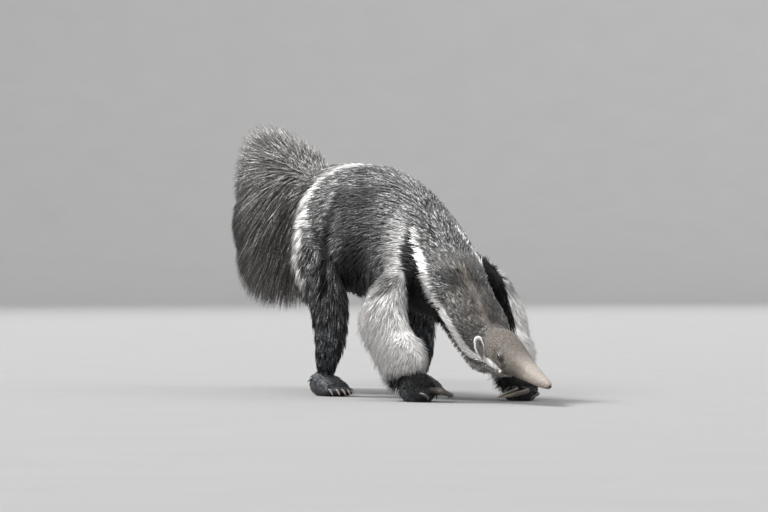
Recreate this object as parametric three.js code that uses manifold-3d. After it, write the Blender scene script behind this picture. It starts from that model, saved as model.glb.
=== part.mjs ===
// A life-size giant anteater, standing on all fours with its head lowered to drink.
// Millimetres. +Z is up, the nose points to -Y and the animal's left is +X. The origin is on the floor, under
// the middle of the whole animal.
// Each named mesh is one closed part: torso, neck, head, eyes, ears, legs, feet, claws and tail.
import * as THREE from "three";
import { mergeVertices } from "three/addons/utils/BufferGeometryUtils.js";
import Module from "manifold-3d";

const wasm = await Module();
wasm.setup();

// Driving dimensions.
const GAP = 0.3; // between touching parts
const FORE_TRACK = 150; // from the middle line to each forefoot
const FORE_FOOT_Y = -24;
const HIND_TRACK = 138;
const HIND_FOOT_Y = 555;
const LEFT_FORE_STEP = -38; // the left forefoot stands this far ahead of the right one
const LEFT_HIND_STEP = -45;
const EYE_RADIUS = 8;
const EAR_LENGTH = 58;
const EAR_WIDTH = 36;
const SNOUT_TIP_Y = -548;
const UP = new THREE.Vector3(0, 0, 1);

// Stations run from the rear to the front: [x, y, z, half width, height above, depth below].
const TORSO = [
  [0, 880, 540, 50, 54, 60],
  [0, 830, 535, 104, 138, 130], // rump
  [0, 740, 508, 148, 186, 180], // hips
  [0, 600, 485, 158, 196, 188],
  [0, 450, 475, 162, 192, 192],
  [0, 320, 455, 160, 166, 188], // ribs
  [0, 200, 418, 152, 124, 176], // shoulders
  [0, 90, 368, 136, 94, 158],
  [0, 0, 325, 116, 86, 128], // breast
  [0, -60, 297, 80, 66, 90],
];
const NECK = [
  [0, 110, 375, 80, 60, 88],
  [2, 60, 340, 110, 66, 114],
  [6, -30, 278, 98, 70, 110],
  [12, -110, 216, 80, 62, 94],
  [15, -165, 178, 62, 46, 76],
  [15, -205, 158, 48, 36, 54],
];
const HEAD = [
  [16, -160, 174, 34, 30, 36],
  [15, -192, 165, 52, 48, 58],
  [12, -245, 143, 53, 46, 58], // ears and jaw
  [8, -300, 121, 45, 41, 46], // eyes
  [2, -360, 101, 37, 34, 37],
  [-4, -415, 85, 30, 28, 29],
  [-10, -470, 70, 24, 23, 23],
  [-15, -522, 57, 18, 18, 18],
  [-18, SNOUT_TIP_Y, 51, 12, 12, 12],
];
const TAIL = [
  [20, 1480, 560, 12, 26, 60],
  [20, 1410, 606, 26, 46, 120],
  [18, 1290, 644, 36, 54, 168],
  [12, 1170, 652, 44, 56, 192],
  [4, 1040, 632, 56, 60, 180],
  [0, 930, 596, 70, 76, 146],
  [0, 850, 560, 80, 84, 120],
  [0, 790, 540, 60, 60, 70],
];

// A closed form lofted through stations: an ellipse at each, taller above or below as they say.
class Form {
  constructor(stations, { sides = 12, rings = 14, ends = 0.35, ridge = 0 } = {}) {
    this.path = new THREE.CatmullRomCurve3(stations.map(([x, y, z]) => new THREE.Vector3(x, y, z)));
    this.girth = new THREE.CatmullRomCurve3(stations.map((s) => new THREE.Vector3(s[3], s[4], s[5])));
    this.sides = sides;
    this.rings = rings;
    this.ends = ends; // how evenly the rings are spaced, from crowded at both ends to even
    this.ridge = ridge; // how much narrower than an ellipse the form is at its top
  }

  // The point at a share u along the path and an angle round it: 0 is the animal's left, a quarter turn is up.
  at(u, angle, grow = 0, swell = 1) {
    const along = this.path.getTangent(u);
    const girth = this.girth.getPoint(u);
    const side = new THREE.Vector3(1, 0, 0).addScaledVector(along, -along.x).normalize();
    const up = along.clone().cross(side);
    const rise = Math.sin(angle);
    const height = (rise > 0 ? girth.y : girth.z) + grow;
    const width = girth.x * (1 - this.ridge * Math.max(0, rise) ** 2) + grow;
    return this.path
      .getPoint(u)
      .addScaledVector(side, Math.cos(angle) * width * swell)
      .addScaledVector(up, rise * height * swell);
  }

  // The outward direction of the surface there.
  out(u, angle) {
    const step = 0.01;
    const around = this.at(u, angle + step).sub(this.at(u, angle - step));
    const ahead = this.at(Math.min(1, u + step), angle).sub(this.at(Math.max(0, u - step), angle));
    return around.cross(ahead).normalize();
  }

  // The whole form as a solid, grown by some millimetres where it is to cut its neighbour clear.
  solid(grow = 0) {
    const ball = new THREE.SphereGeometry(1, this.sides, this.rings);
    const spots = ball.getAttribute("position");
    for (let i = 0; i < spots.count; i++) {
      const pole = spots.getY(i);
      const turn = Math.acos(THREE.MathUtils.clamp(pole, -1, 1)) / Math.PI;
      const u = THREE.MathUtils.lerp(turn, (1 - pole) / 2, this.ends);
      const radius = Math.hypot(spots.getX(i), spots.getZ(i));
      const angle = Math.atan2(spots.getZ(i), spots.getX(i));
      const swell = Math.sqrt(radius * (2 - radius));
      const spot = this.at(u, angle, grow, swell);
      spot.addScaledVector(this.path.getTangent(u), -pole * grow * (1 - swell));
      spots.setXYZ(i, spot.x, spot.y, spot.z);
    }
    return solidOf(ball);
  }
}

// A manifold solid from a closed three.js geometry.
function solidOf(geometry) {
  geometry.deleteAttribute("normal");
  geometry.deleteAttribute("uv");
  const merged = mergeVertices(geometry, 1e-3);
  return new wasm.Manifold(
    new wasm.Mesh({
      numProp: 3,
      vertProperties: new Float32Array(merged.getAttribute("position").array),
      triVerts: new Uint32Array(merged.index.array),
    }),
  );
}

// The largest closed surface of a solid, as a named mesh.
function part(name, solid, material) {
  const pieces = solid.decompose().sort((a, b) => b.volume() - a.volume());
  const mesh = pieces[0].getMesh();
  const geometry = new THREE.BufferGeometry();
  geometry.setAttribute("position", new THREE.BufferAttribute(mesh.vertProperties, mesh.numProp));
  geometry.setIndex(new THREE.BufferAttribute(mesh.triVerts, 1));
  const made = new THREE.Mesh(geometry, material);
  made.name = name;
  return made;
}

// A ball, or an egg with three half sizes, turned and placed.
const LEVEL = new THREE.Quaternion();
function egg(centre, [x, y, z], turn = LEVEL, sides = 10) {
  const ball = new THREE.SphereGeometry(1, sides, sides / 2).rotateX(Math.PI / 2).scale(x, y, z);
  return solidOf(ball.applyQuaternion(turn).translate(centre.x, centre.y, centre.z));
}

// A tapering horn that follows a curve, oval across.
function horn(route, thick, { flat = 0.8, sides = 8, steps = 5 } = {}) {
  const cone = new THREE.ConeGeometry(1, 1, sides, steps);
  const spots = cone.getAttribute("position");
  for (let i = 0; i < spots.count; i++) {
    const u = spots.getY(i) + 0.5;
    const along = route.getTangent(u);
    const side = new THREE.Vector3(0, 0, 1).cross(along).normalize();
    const up = side.clone().cross(along);
    const spot = route
      .getPoint(u)
      .addScaledVector(side, spots.getX(i) * thick * flat)
      .addScaledVector(up, spots.getZ(i) * thick);
    spots.setXYZ(i, spot.x, spot.y, spot.z);
  }
  return solidOf(cone);
}

// A repeatable draw between -1 and 1, so that no two locks are alike.
let seed = 20;
function draw() {
  seed = (seed * 16807) % 2147483647;
  return (seed / 2147483647) * 2 - 1;
}

// A flat lock of hair, four-sided across, with its broad side turned to face. It leaves its root along the
// way given, droops and tapers to its tip.
function lock({ root, out, face, way, length, width, droop }, grow = 0) {
  const thick = width * 0.24;
  const reach = (share, raise, fall) =>
    root
      .clone()
      .addScaledVector(way, length * share)
      .addScaledVector(out, raise)
      .addScaledVector(UP, -length * fall);
  const bends = [reach(0.3, 0, 0), reach(0.68, thick / 2, droop * 0.3)];
  const route = new THREE.CubicBezierCurve3(reach(-0.05, -thick - 4, 0), ...bends, reach(1, 0, droop));
  const point = route.getPoint(1).sub(route.getPoint(2 / 3)).normalize();
  const cone = new THREE.ConeGeometry(1, 1, 4, 3);
  const spots = cone.getAttribute("position");
  for (let i = 0; i < spots.count; i++) {
    const u = spots.getY(i) + 0.5;
    const along = route.getTangent(u);
    const side = along.clone().cross(face).normalize();
    const taper = 1 - Math.min(u, 0.999);
    const swell = (0.8 + 0.9 * u - 1.7 * u * u) / taper;
    const spare = (grow * 1.5) / taper;
    const spot = route
      .getPoint(u)
      .addScaledVector(point, u === 1 ? grow * 3 : 0)
      .addScaledVector(side, spots.getX(i) * (swell * width * 0.5 + spare))
      .addScaledVector(side.cross(along), spots.getZ(i) * (swell * thick * 0.5 + spare));
    spots.setXYZ(i, spot.x, spot.y, spot.z);
  }
  return solidOf(cone);
}

// What may change along a row is a function of the share u; these two stay the same.
const toward = (x, y, z) => () => new THREE.Vector3(x, y, z);
const even = (size) => () => size;

// A row of locks along a form at one angle, from one share of its path to another. Where lift is given they
// lie along the surface, raised by it; otherwise they leave straight along the lie.
function lockRow(form, { angle, from, to, count, lie, lift, face, length, width, droop = even(0.05) }) {
  return Array.from({ length: count }, (_, i) => {
    const u = THREE.MathUtils.lerp(from, to, (i + 0.5 + 0.2 * draw()) / count);
    const turn = angle + 0.06 * draw();
    const out = form.out(u, turn);
    const way = lie(u).add(new THREE.Vector3(draw(), draw(), draw()).multiplyScalar(0.08));
    if (lift) way.projectOnPlane(out).normalize().addScaledVector(out, lift);
    return {
      root: form.at(u, turn),
      out,
      face: face ?? out,
      way: way.normalize(),
      length: length(u) * (1 + 0.12 * draw()),
      width: width * (1 + 0.1 * draw()),
      droop: droop(u),
    };
  });
}

// A form and its locks fused into one solid, and the same grown by the gap, to cut its neighbours clear.
function coated(form, locks) {
  return {
    solid: wasm.Manifold.union([form.solid(), ...locks.map((one) => lock(one))]),
    clearing: wasm.Manifold.union([form.solid(GAP), ...locks.map((one) => lock(one, GAP))]),
  };
}

// Materials.
const coat = (name, color) => new THREE.MeshStandardMaterial({ name, color, roughness: 0.9, metalness: 0 });
const GREY_COAT = coat("grey coat", 0x77706a);
const DARK_COAT = coat("dark coat", 0x35332f);
const WHITE_COAT = coat("white coat", 0xe0dbcf);
const TAIL_COAT = coat("tail coat", 0x6b6258);
const FACE_COAT = coat("face coat", 0xa0948a);
const EAR_COAT = coat("ear coat", 0x8d837a);
const EYE_WET = new THREE.MeshStandardMaterial({ name: "eye", color: 0x17110d, roughness: 0.08, metalness: 0 });
const CLAW_HORN = new THREE.MeshStandardMaterial({ name: "claw", color: 0x4a443c, roughness: 0.45, metalness: 0 });

const anteater = new THREE.Group();
const SIDES = [
  { name: "right", side: -1, foreStep: 0, hindStep: 0 },
  { name: "left", side: 1, foreStep: LEFT_FORE_STEP, hindStep: LEFT_HIND_STEP },
];

// The angle round a form for one side, raised from level.
const turnOf = (side, rise) => (side > 0 ? rise : Math.PI - rise);

// Trunk.
const torso = new Form(TORSO, { sides: 22, rings: 18, ridge: 0.25 });
const neck = new Form(NECK, { sides: 18, rings: 10, ridge: 0.15 });
const head = new Form(HEAD, { sides: 18, rings: 22 });

// The crest is a mane along the spine, longer towards the rump. Hair hangs from the flanks and the rump.
const LANES = [-1, 0, 1];
const torsoLocks = [
  ...LANES.flatMap((lane) =>
    lockRow(torso, {
      angle: Math.PI / 2 - lane * 0.3,
      from: 0.03 + 0.035 * Math.abs(lane),
      to: 0.84,
      count: 7,
      lie: toward(lane * 0.3, 1, 0),
      lift: 0.08,
      length: (u) => 190 - 60 * u,
      width: 72,
      droop: (u) => 0.06 + 0.3 * u,
    }),
  ),
  ...SIDES.flatMap(({ side }) => [
    ...lockRow(torso, {
      angle: turnOf(side, -0.75),
      from: 0.3,
      to: 0.64,
      count: 5,
      lie: toward(0, 0.5, -1),
      lift: 0.3,
      length: even(110),
      width: 70,
    }),
    ...[-0.35, 0.2].flatMap((rise) =>
      lockRow(torso, {
        angle: turnOf(side, rise),
        from: 0.03,
        to: 0.1,
        count: 2,
        lie: toward(0, 0.5, -1),
        lift: 0.18,
        length: even(160),
        width: 58,
        droop: even(0.15),
      }),
    ),
  ]),
];
const trunk = coated(torso, torsoLocks);
const napeLocks = LANES.flatMap((lane) =>
  lockRow(neck, {
    angle: Math.PI / 2 - lane * 0.4,
    from: 0.34,
    to: 0.8,
    count: 3,
    lie: toward(lane * 0.3, 1, 0),
    lift: 0.1,
    length: even(88),
    width: 46,
    droop: even(0.22),
  }),
);
const nape = coated(neck, napeLocks);

// The tail is a thin core with hair in tiers: short hair rising from its top, long hair hanging from its
// sides and its under edge, and a brush at its end.
const tail = new Form(TAIL, { sides: 12, rings: 12 });
const sweep = (u) => 0.12 + 0.75 * (1 - u) ** 2; // how far the hair leans to the rear, most at the end
const tailLocks = [
  ...LANES.flatMap((lane) =>
    lockRow(tail, {
      angle: Math.PI / 2 - lane * 0.45,
      from: 0.03,
      to: 0.74,
      count: 6,
      lie: (u) => new THREE.Vector3(lane * 0.15, 0.75 + sweep(u), 1 - 0.5 * sweep(u)),
      face: new THREE.Vector3(lane || 1, 0, 0),
      length: (u) => 210 - 70 * u,
      width: 88,
      droop: even(0.1),
    }),
  ),
  ...LANES.flatMap((lane) =>
    lockRow(tail, {
      angle: -Math.PI / 2 + lane * 0.5,
      from: 0.02,
      to: 0.76,
      count: 7,
      lie: (u) => new THREE.Vector3(lane * 0.12, sweep(u), -1),
      face: new THREE.Vector3(lane || 1, 0, 0),
      length: even(250 - 40 * Math.abs(lane)),
      width: 92,
    }),
  ),
  ...SIDES.flatMap(({ side }) =>
    [-0.45, 0.45].flatMap((rise, tier) =>
      lockRow(tail, {
        angle: turnOf(side, rise),
        from: 0.04 + 0.04 * tier,
        to: 0.78,
        count: 5,
        lie: (u) => new THREE.Vector3(0, sweep(u), -1),
        lift: 0.1 + 0.06 * tier,
        length: even(235),
        width: 104,
      }),
    ),
  ),
];
const plume = coated(tail, tailLocks);

anteater.add(
  part("torso", trunk.solid, GREY_COAT),
  part("neck", nape.solid.subtract(trunk.clearing).subtract(head.solid(GAP)), GREY_COAT),
  part("tail", plume.solid.subtract(trunk.clearing), TAIL_COAT),
);

// The head, with a socket and lids round each eye, two nostrils and the slit of the mouth.
const EYE_SHARE = 0.36;
const EYE_RISE = 0.08;
const LID_THICKNESS = 2.4;
const EYE_SUNK = 5;
const EAR_SHARE = 0.17;
const EAR_RISE = -0.5;

function eyeCentre(side) {
  const angle = turnOf(side, EYE_RISE);
  return head.at(EYE_SHARE, angle).addScaledVector(head.out(EYE_SHARE, angle), -EYE_SUNK);
}

// A ring of lid skin round the eye, longer along the head than it is tall.
function lids(side) {
  const ring = new THREE.TorusGeometry(EYE_RADIUS, LID_THICKNESS, 5, 12).scale(1.2, 0.85, 1);
  const out = head.out(EYE_SHARE, turnOf(side, EYE_RISE));
  const along = head.path.getTangent(EYE_SHARE);
  const up = out.clone().cross(along).normalize();
  const frame = new THREE.Matrix4().makeBasis(up.clone().cross(out), up, out);
  const place = eyeCentre(side).addScaledVector(out, EYE_SUNK - 1);
  return solidOf(ring.applyMatrix4(frame).translate(place.x, place.y, place.z));
}

// An ear is a cup, taller than it is wide, with its rim cut back at the front.
const EAR_OUTLINE = [
  [0, 0],
  [0.34, 0.06],
  [0.72, 0.36],
  [0.97, 0.7],
  [0.86, 1],
  [0.72, 0.98],
  [0.7, 0.72],
  [0.5, 0.42],
  [0, 0.28],
].map(([across, up]) => new THREE.Vector2(across, up));

function ear(side) {
  const cup = new THREE.LatheGeometry(EAR_OUTLINE, 12);
  const spots = cup.getAttribute("position");
  for (let i = 0; i < spots.count; i++) {
    const front = Math.max(0, spots.getZ(i)) * spots.getY(i);
    spots.setY(i, spots.getY(i) * (1 - 0.45 * front));
  }
  cup.scale(EAR_WIDTH / 2, EAR_LENGTH, EAR_WIDTH * 0.36);
  const up = new THREE.Vector3(side * 0.3, 0.33, 1).normalize();
  const front = new THREE.Vector3(side * 0.75, -1, 0).projectOnPlane(up).normalize();
  const frame = new THREE.Matrix4().makeBasis(up.clone().cross(front), up, front);
  const root = head.at(EAR_SHARE, turnOf(side, EAR_RISE)).addScaledVector(up, -6);
  return solidOf(cup.applyMatrix4(frame).translate(root.x, root.y, root.z));
}

const snout = head.path.getPoint(1);
const snoutWay = head.path.getTangent(1);
const snoutTurn = new THREE.Quaternion().setFromUnitVectors(new THREE.Vector3(0, -1, 0), snoutWay);
const onSnout = (x, ahead, z) => new THREE.Vector3(x, -ahead, z).applyQuaternion(snoutTurn).add(snout);

let skull = head.solid();
for (const { side } of SIDES) {
  skull = skull.add(lids(side));
  skull = skull.subtract(egg(eyeCentre(side), [EYE_RADIUS + GAP, EYE_RADIUS + GAP, EYE_RADIUS + GAP]));
  skull = skull.subtract(egg(onSnout(side * 6, -1, 4), [2.6, 6, 1.8], snoutTurn, 8));
}
skull = skull.subtract(egg(onSnout(0, -8, -5.5), [24, 13, 1.3], snoutTurn, 12));
anteater.add(part("head", skull, FACE_COAT));
for (const { name, side } of SIDES) {
  anteater.add(
    part("eye_" + name, egg(eyeCentre(side), [EYE_RADIUS, EYE_RADIUS, EYE_RADIUS]), EYE_WET),
    part("ear_" + name, ear(side).subtract(head.solid(GAP)).subtract(neck.solid(GAP)), EAR_COAT),
  );
}

// Legs. Their stations run down from the trunk, with the height above now ahead and the depth below behind.
const FLOOR = solidOf(new THREE.BoxGeometry(4000, 4000, 400).translate(0, 400, -200));

function hindLeg(side, step) {
  return new Form([
    [side * 90, 710 + step * 0.1, 550, 40, 60, 60],
    [side * 112, 690 + step * 0.2, 480, 56, 100, 110],
    [side * 135, 650 + step * 0.4, 400, 56, 100, 110], // thigh
    [side * 146, 600 + step * 0.7, 320, 50, 76, 82], // knee
    [side * HIND_TRACK, HIND_FOOT_Y + 8 + step * 0.9, 220, 46, 58, 62],
    [side * HIND_TRACK, HIND_FOOT_Y + 8 + step, 120, 42, 50, 54], // ankle
    [side * HIND_TRACK, HIND_FOOT_Y + 18 + step, 50, 36, 46, 46],
  ]);
}
function hindFoot(side, step) {
  const y = HIND_FOOT_Y + step;
  return new Form(
    [
      [side * HIND_TRACK, y + 72, 34, 30, 34, 40], // heel
      [side * HIND_TRACK, y + 32, 34, 40, 38, 40],
      [side * HIND_TRACK, y - 18, 28, 46, 32, 40],
      [side * HIND_TRACK, y - 62, 22, 44, 24, 40],
      [side * HIND_TRACK, y - 86, 18, 34, 18, 30], // roots of the toes
    ],
    { rings: 10 },
  );
}
function foreLeg(side, step) {
  return new Form([
    [side * 90, 130, 430, 40, 50, 60],
    [side * 116, 118 + step * 0.3, 385, 52, 84, 95],
    [side * 150, 118 + step * 0.6, 315, 62, 82, 100], // upper arm
    [side * 172, 108 + step * 0.9, 248, 70, 76, 100], // elbow
    [side * 167, 72 + step, 170, 68, 74, 92],
    [side * 157, FORE_FOOT_Y + 30 + step, 105, 62, 86, 84], // cuff of long hair over the wrist
    [side * FORE_TRACK, FORE_FOOT_Y + 4 + step, 66, 50, 74, 62],
  ]);
}
function foreFoot(side, step) {
  const y = FORE_FOOT_Y + step;
  return new Form(
    [
      [side * FORE_TRACK, y + 52, 44, 32, 38, 50],
      [side * FORE_TRACK, y + 14, 42, 48, 46, 50],
      [side * FORE_TRACK, y - 30, 34, 48, 36, 50],
      [side * FORE_TRACK, y - 64, 26, 34, 26, 34], // knuckles
    ],
    { rings: 10 },
  );
}

// Hair down the back and the outer side of a leg, in rows that overlap downwards.
function legLocks(form, side, { from, to, length }) {
  return [-1.5, -0.8, -0.1].flatMap((rise, row) =>
    lockRow(form, {
      angle: turnOf(side, rise),
      from: from + 0.05 * (row % 2),
      to,
      count: 3,
      lie: toward(0, 0.25, -1),
      lift: 0.12,
      length,
      width: 68,
    }),
  );
}

// A forefoot rests on its knuckles and outer edge, with the claws folded inwards and back.
const FORE_CLAWS = [
  { digit: 1, thick: 5, inward: 36, ahead: 12, high: 38, length: 30 },
  { digit: 2, thick: 8, inward: 32, ahead: 42, high: 32, length: 66 },
  { digit: 3, thick: 10, inward: 14, ahead: 66, high: 28, length: 86 },
  { digit: 4, thick: 5, inward: -20, ahead: 74, high: 20, length: 26 },
];
function foreClaw({ thick, inward, ahead, high, length }, side, step) {
  const root = new THREE.Vector3(side * (FORE_TRACK - inward), FORE_FOOT_Y + step - ahead, high);
  const reach = (toMiddle, forward, z) =>
    new THREE.Vector3(side * (FORE_TRACK - inward - toMiddle), FORE_FOOT_Y + step - ahead - forward, z);
  return new THREE.CubicBezierCurve3(
    root.add(new THREE.Vector3(0, 14, 4)),
    reach(length * 0.15, length * 0.35, high),
    reach(length * 0.55, length * 0.25, high * 0.7),
    reach(length * 0.8, -length * 0.2, thick),
  );
}

// A hind foot stands flat, with five short claws in an arc ahead of the toes.
const TOES = 5;
const TOE_SPREAD = 32;
const TOE_RADIUS = 12;
const HIND_CLAW = 26;
function toeSpot(side, step, digit) {
  const share = (digit - (TOES + 1) / 2) / ((TOES - 1) / 2);
  const lead = 88 - 14 * share * share - 4 * share;
  const across = side * (HIND_TRACK + share * TOE_SPREAD);
  return new THREE.Vector3(across, HIND_FOOT_Y + step - lead, TOE_RADIUS + 1);
}

function hindClaw(spot) {
  const reach = (ahead, z) => new THREE.Vector3(spot.x, spot.y - ahead, z);
  const bend = reach(TOE_RADIUS + HIND_CLAW * 0.5, 18);
  return new THREE.QuadraticBezierCurve3(spot, bend, reach(HIND_CLAW + 8, 3));
}

for (const { name, side, foreStep, hindStep } of SIDES) {
  const thigh = hindLeg(side, hindStep);
  const paw = hindFoot(side, hindStep);
  const arm = foreLeg(side, foreStep);
  const fist = foreFoot(side, foreStep);

  let sole = paw.solid();
  let cleared = paw.solid(GAP);
  for (let digit = 1; digit <= TOES; digit++) {
    const spot = toeSpot(side, hindStep, digit);
    sole = sole.add(egg(spot, [TOE_RADIUS, TOE_RADIUS * 1.5, TOE_RADIUS], LEVEL, 8));
    cleared = cleared.add(egg(spot, [TOE_RADIUS + GAP, TOE_RADIUS * 1.5 + GAP, TOE_RADIUS + GAP], LEVEL, 8));
  }
  const thighCoat = coated(thigh, legLocks(thigh, side, { from: 0.16, to: 0.8, length: even(130) }));
  const armCoat = coated(arm, legLocks(arm, side, { from: 0.24, to: 0.84, length: (u) => 125 - 60 * u }));
  anteater.add(
    part("hindleg_" + name, thighCoat.solid.subtract(trunk.clearing).subtract(paw.solid(GAP)), DARK_COAT),
    part("hindfoot_" + name, sole.subtract(FLOOR), DARK_COAT),
    part(
      "foreleg_" + name,
      armCoat.solid.subtract(trunk.clearing).subtract(nape.clearing).subtract(fist.solid(GAP)),
      WHITE_COAT,
    ),
    part("forefoot_" + name, fist.solid().subtract(FLOOR), DARK_COAT),
  );
  for (let digit = 1; digit <= TOES; digit++) {
    const claw = horn(hindClaw(toeSpot(side, hindStep, digit)), 5, { sides: 6, steps: 3 });
    anteater.add(part(`hindclaw_${name}_${digit}`, claw.subtract(cleared), CLAW_HORN));
  }
  for (const claw of FORE_CLAWS) {
    const grown = horn(foreClaw(claw, side, foreStep), claw.thick, { sides: 6 });
    anteater.add(part(`foreclaw_${name}_${claw.digit}`, grown.subtract(fist.solid(GAP)), CLAW_HORN));
  }
}

// The origin is set under the middle of the whole animal.
const middle = new THREE.Box3().setFromObject(anteater).getCenter(new THREE.Vector3());
anteater.position.set(-middle.x, -middle.y, 0);

export default anteater;
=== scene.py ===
import math

import bmesh
import bpy
import numpy as np
from mathutils import Matrix, Vector
from mathutils.bvhtree import BVHTree
from mathutils.kdtree import KDTree


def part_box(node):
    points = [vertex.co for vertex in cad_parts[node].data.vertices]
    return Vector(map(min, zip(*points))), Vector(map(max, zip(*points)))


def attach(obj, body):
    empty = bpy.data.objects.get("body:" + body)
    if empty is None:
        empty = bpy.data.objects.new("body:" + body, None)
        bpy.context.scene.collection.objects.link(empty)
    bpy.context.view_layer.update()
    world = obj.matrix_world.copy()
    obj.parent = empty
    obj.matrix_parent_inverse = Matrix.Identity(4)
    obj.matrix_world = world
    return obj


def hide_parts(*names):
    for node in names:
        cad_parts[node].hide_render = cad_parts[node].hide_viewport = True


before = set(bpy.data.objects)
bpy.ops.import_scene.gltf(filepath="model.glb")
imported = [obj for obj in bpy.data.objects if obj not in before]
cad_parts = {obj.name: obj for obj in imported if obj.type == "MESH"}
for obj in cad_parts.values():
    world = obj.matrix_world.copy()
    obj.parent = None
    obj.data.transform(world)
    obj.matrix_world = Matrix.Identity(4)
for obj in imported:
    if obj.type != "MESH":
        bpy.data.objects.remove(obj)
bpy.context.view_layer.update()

# The flesh of a giant anteater: a deep, high-backed trunk, a neck that runs into a long tube of a head, four
# stout legs and a flat-sided tail. One living surface covers it all, so it is lofted limb by limb and then
# grown together into a single skin, which lies under the coat by the coat's own depth.
rng = np.random.default_rng(41)
FORE_TRACK = 0.150
FORE_FOOT_Y = -0.024
HIND_TRACK = 0.138
HIND_FOOT_Y = 0.555
LEFT_FORE_STEP = -0.038
LEFT_HIND_STEP = -0.045
SIDES = [("right", -1, 0.0, 0.0), ("left", 1, LEFT_FORE_STEP, LEFT_HIND_STEP)]
UP = np.array([0.0, 0.0, 1.0])


def unit(vectors):
    return vectors / np.maximum(np.linalg.norm(vectors, axis=-1, keepdims=True), 1e-9)


def rows(*columns):
    """Columns of numbers or single numbers, as one row for each point."""
    return np.stack(np.broadcast_arrays(*columns), -1).astype(float)


def step(value, low, high):
    """A soft step: 0 below low, 1 above high. It falls where high is the lower one."""
    share = np.clip((value - low) / (high - low), 0, 1)
    return share * share * (3 - 2 * share)


class Bend:
    """A centripetal curve through points."""

    def __init__(self, points):
        given = np.array(points, float)
        spots = np.vstack([2 * given[0] - given[1], given, 2 * given[-1] - given[-2]])
        gaps = np.sqrt(np.linalg.norm(np.diff(spots, axis=0), axis=1))
        gaps[gaps < 1e-4] = math.sqrt(0.001)
        self.pieces = []
        for i in range(len(given) - 1):
            before, first, last, after = spots[i : i + 4]
            one, two, three = gaps[i : i + 3]
            leave = ((first - before) / one - (last - before) / (one + two) + (last - first) / two) * two
            reach = ((last - first) / two - (after - first) / (two + three) + (after - last) / three) * two
            square = 3 * (last - first) - 2 * leave - reach
            cube = 2 * (first - last) + leave + reach
            self.pieces.append([first, leave, square, cube])
        self.pieces = np.array(self.pieces)

    def at(self, u):
        place = np.clip(u, 0, 1) * len(self.pieces)
        piece = np.minimum(place.astype(int), len(self.pieces) - 1)
        share = (place - piece)[..., None]
        a, b, c, d = np.moveaxis(self.pieces[piece], -2, 0)
        return a + share * (b + share * (c + share * d))

    def way(self, u):
        return unit(self.at(np.minimum(u + 1e-4, 1)) - self.at(np.maximum(u - 1e-4, 0)))


def tube_faces(rings, sides, outward=True):
    """The faces of a tube of rings, closed over one more corner at its first end and one at its last."""
    faces = []
    for low in range(0, (rings - 1) * sides, sides):
        for k in range(sides):
            next_k = (k + 1) % sides
            faces.append([low + k, low + next_k, low + sides + next_k, low + sides + k])
    first_end = rings * sides
    last_ring = first_end - sides
    for k in range(sides):
        next_k = (k + 1) % sides
        faces.append([first_end, next_k, k])
        faces.append([first_end + 1, last_ring + k, last_ring + next_k])
    return faces if outward else [[face[0], *face[:0:-1]] for face in faces]


END_CROWDING = 0.35  # how much closer a limb's rings stand at its ends


class Limb:
    """A lofted form: an oval at each station, given as x, y, z, half width, height above and depth below."""

    def __init__(self, name, stations, flesh, ridge=0.0):
        self.name = name
        self.spine = Bend([s[:3] for s in stations])
        self.girth = Bend([s[3:] for s in stations])
        self.flesh = flesh  # how far the skin lies inside the coat's outer face
        self.ridge = ridge

    def at(self, u, angle, inside=None, swell=1.0):
        inside = self.flesh if inside is None else inside
        u, angle, swell = np.broadcast_arrays(np.asarray(u, float), angle, swell)
        along = self.spine.way(u)
        girth = self.girth.at(u)
        side = unit(np.array([1.0, 0, 0]) - along * along[..., :1])
        rise = np.sin(angle)
        height = np.where(rise > 0, girth[..., 1], girth[..., 2]) - inside
        width = girth[..., 0] * (1 - self.ridge * np.maximum(0, rise) ** 2) - inside
        across = side * (np.cos(angle) * width * swell)[..., None]
        return self.spine.at(u) + across + np.cross(along, side) * (rise * height * swell)[..., None]

    def out(self, u, angle):
        around = self.at(u, angle + 0.01) - self.at(u, angle - 0.01)
        ahead = self.at(np.minimum(u + 0.01, 1), angle) - self.at(np.maximum(u - 0.01, 0), angle)
        return unit(np.cross(around, ahead))

    def shell(self, rings=72, sides=56):
        """The closed surface as corners and faces."""
        turn = np.linspace(0, 1, rings + 1)[1:-1]
        u = turn + (0.5 - 0.5 * np.cos(turn * math.pi) - turn) * END_CROWDING
        radius = np.sin(turn * math.pi)
        swell = np.sqrt(radius * (2 - radius))
        angle = np.arange(sides) * 2 * math.pi / sides
        wall = self.at(u[:, None], angle[None, :], swell=swell[:, None]).reshape(-1, 3)
        corners = np.vstack([wall, self.at(0.0, 0.0, swell=0.0), self.at(1.0, 0.0, swell=0.0)])
        return corners, tube_faces(len(turn), sides)


def stations(*values):
    """Stations written in millimetres, as they are measured, in metres."""
    return [[v / 1000 for v in row] for row in values]


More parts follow.
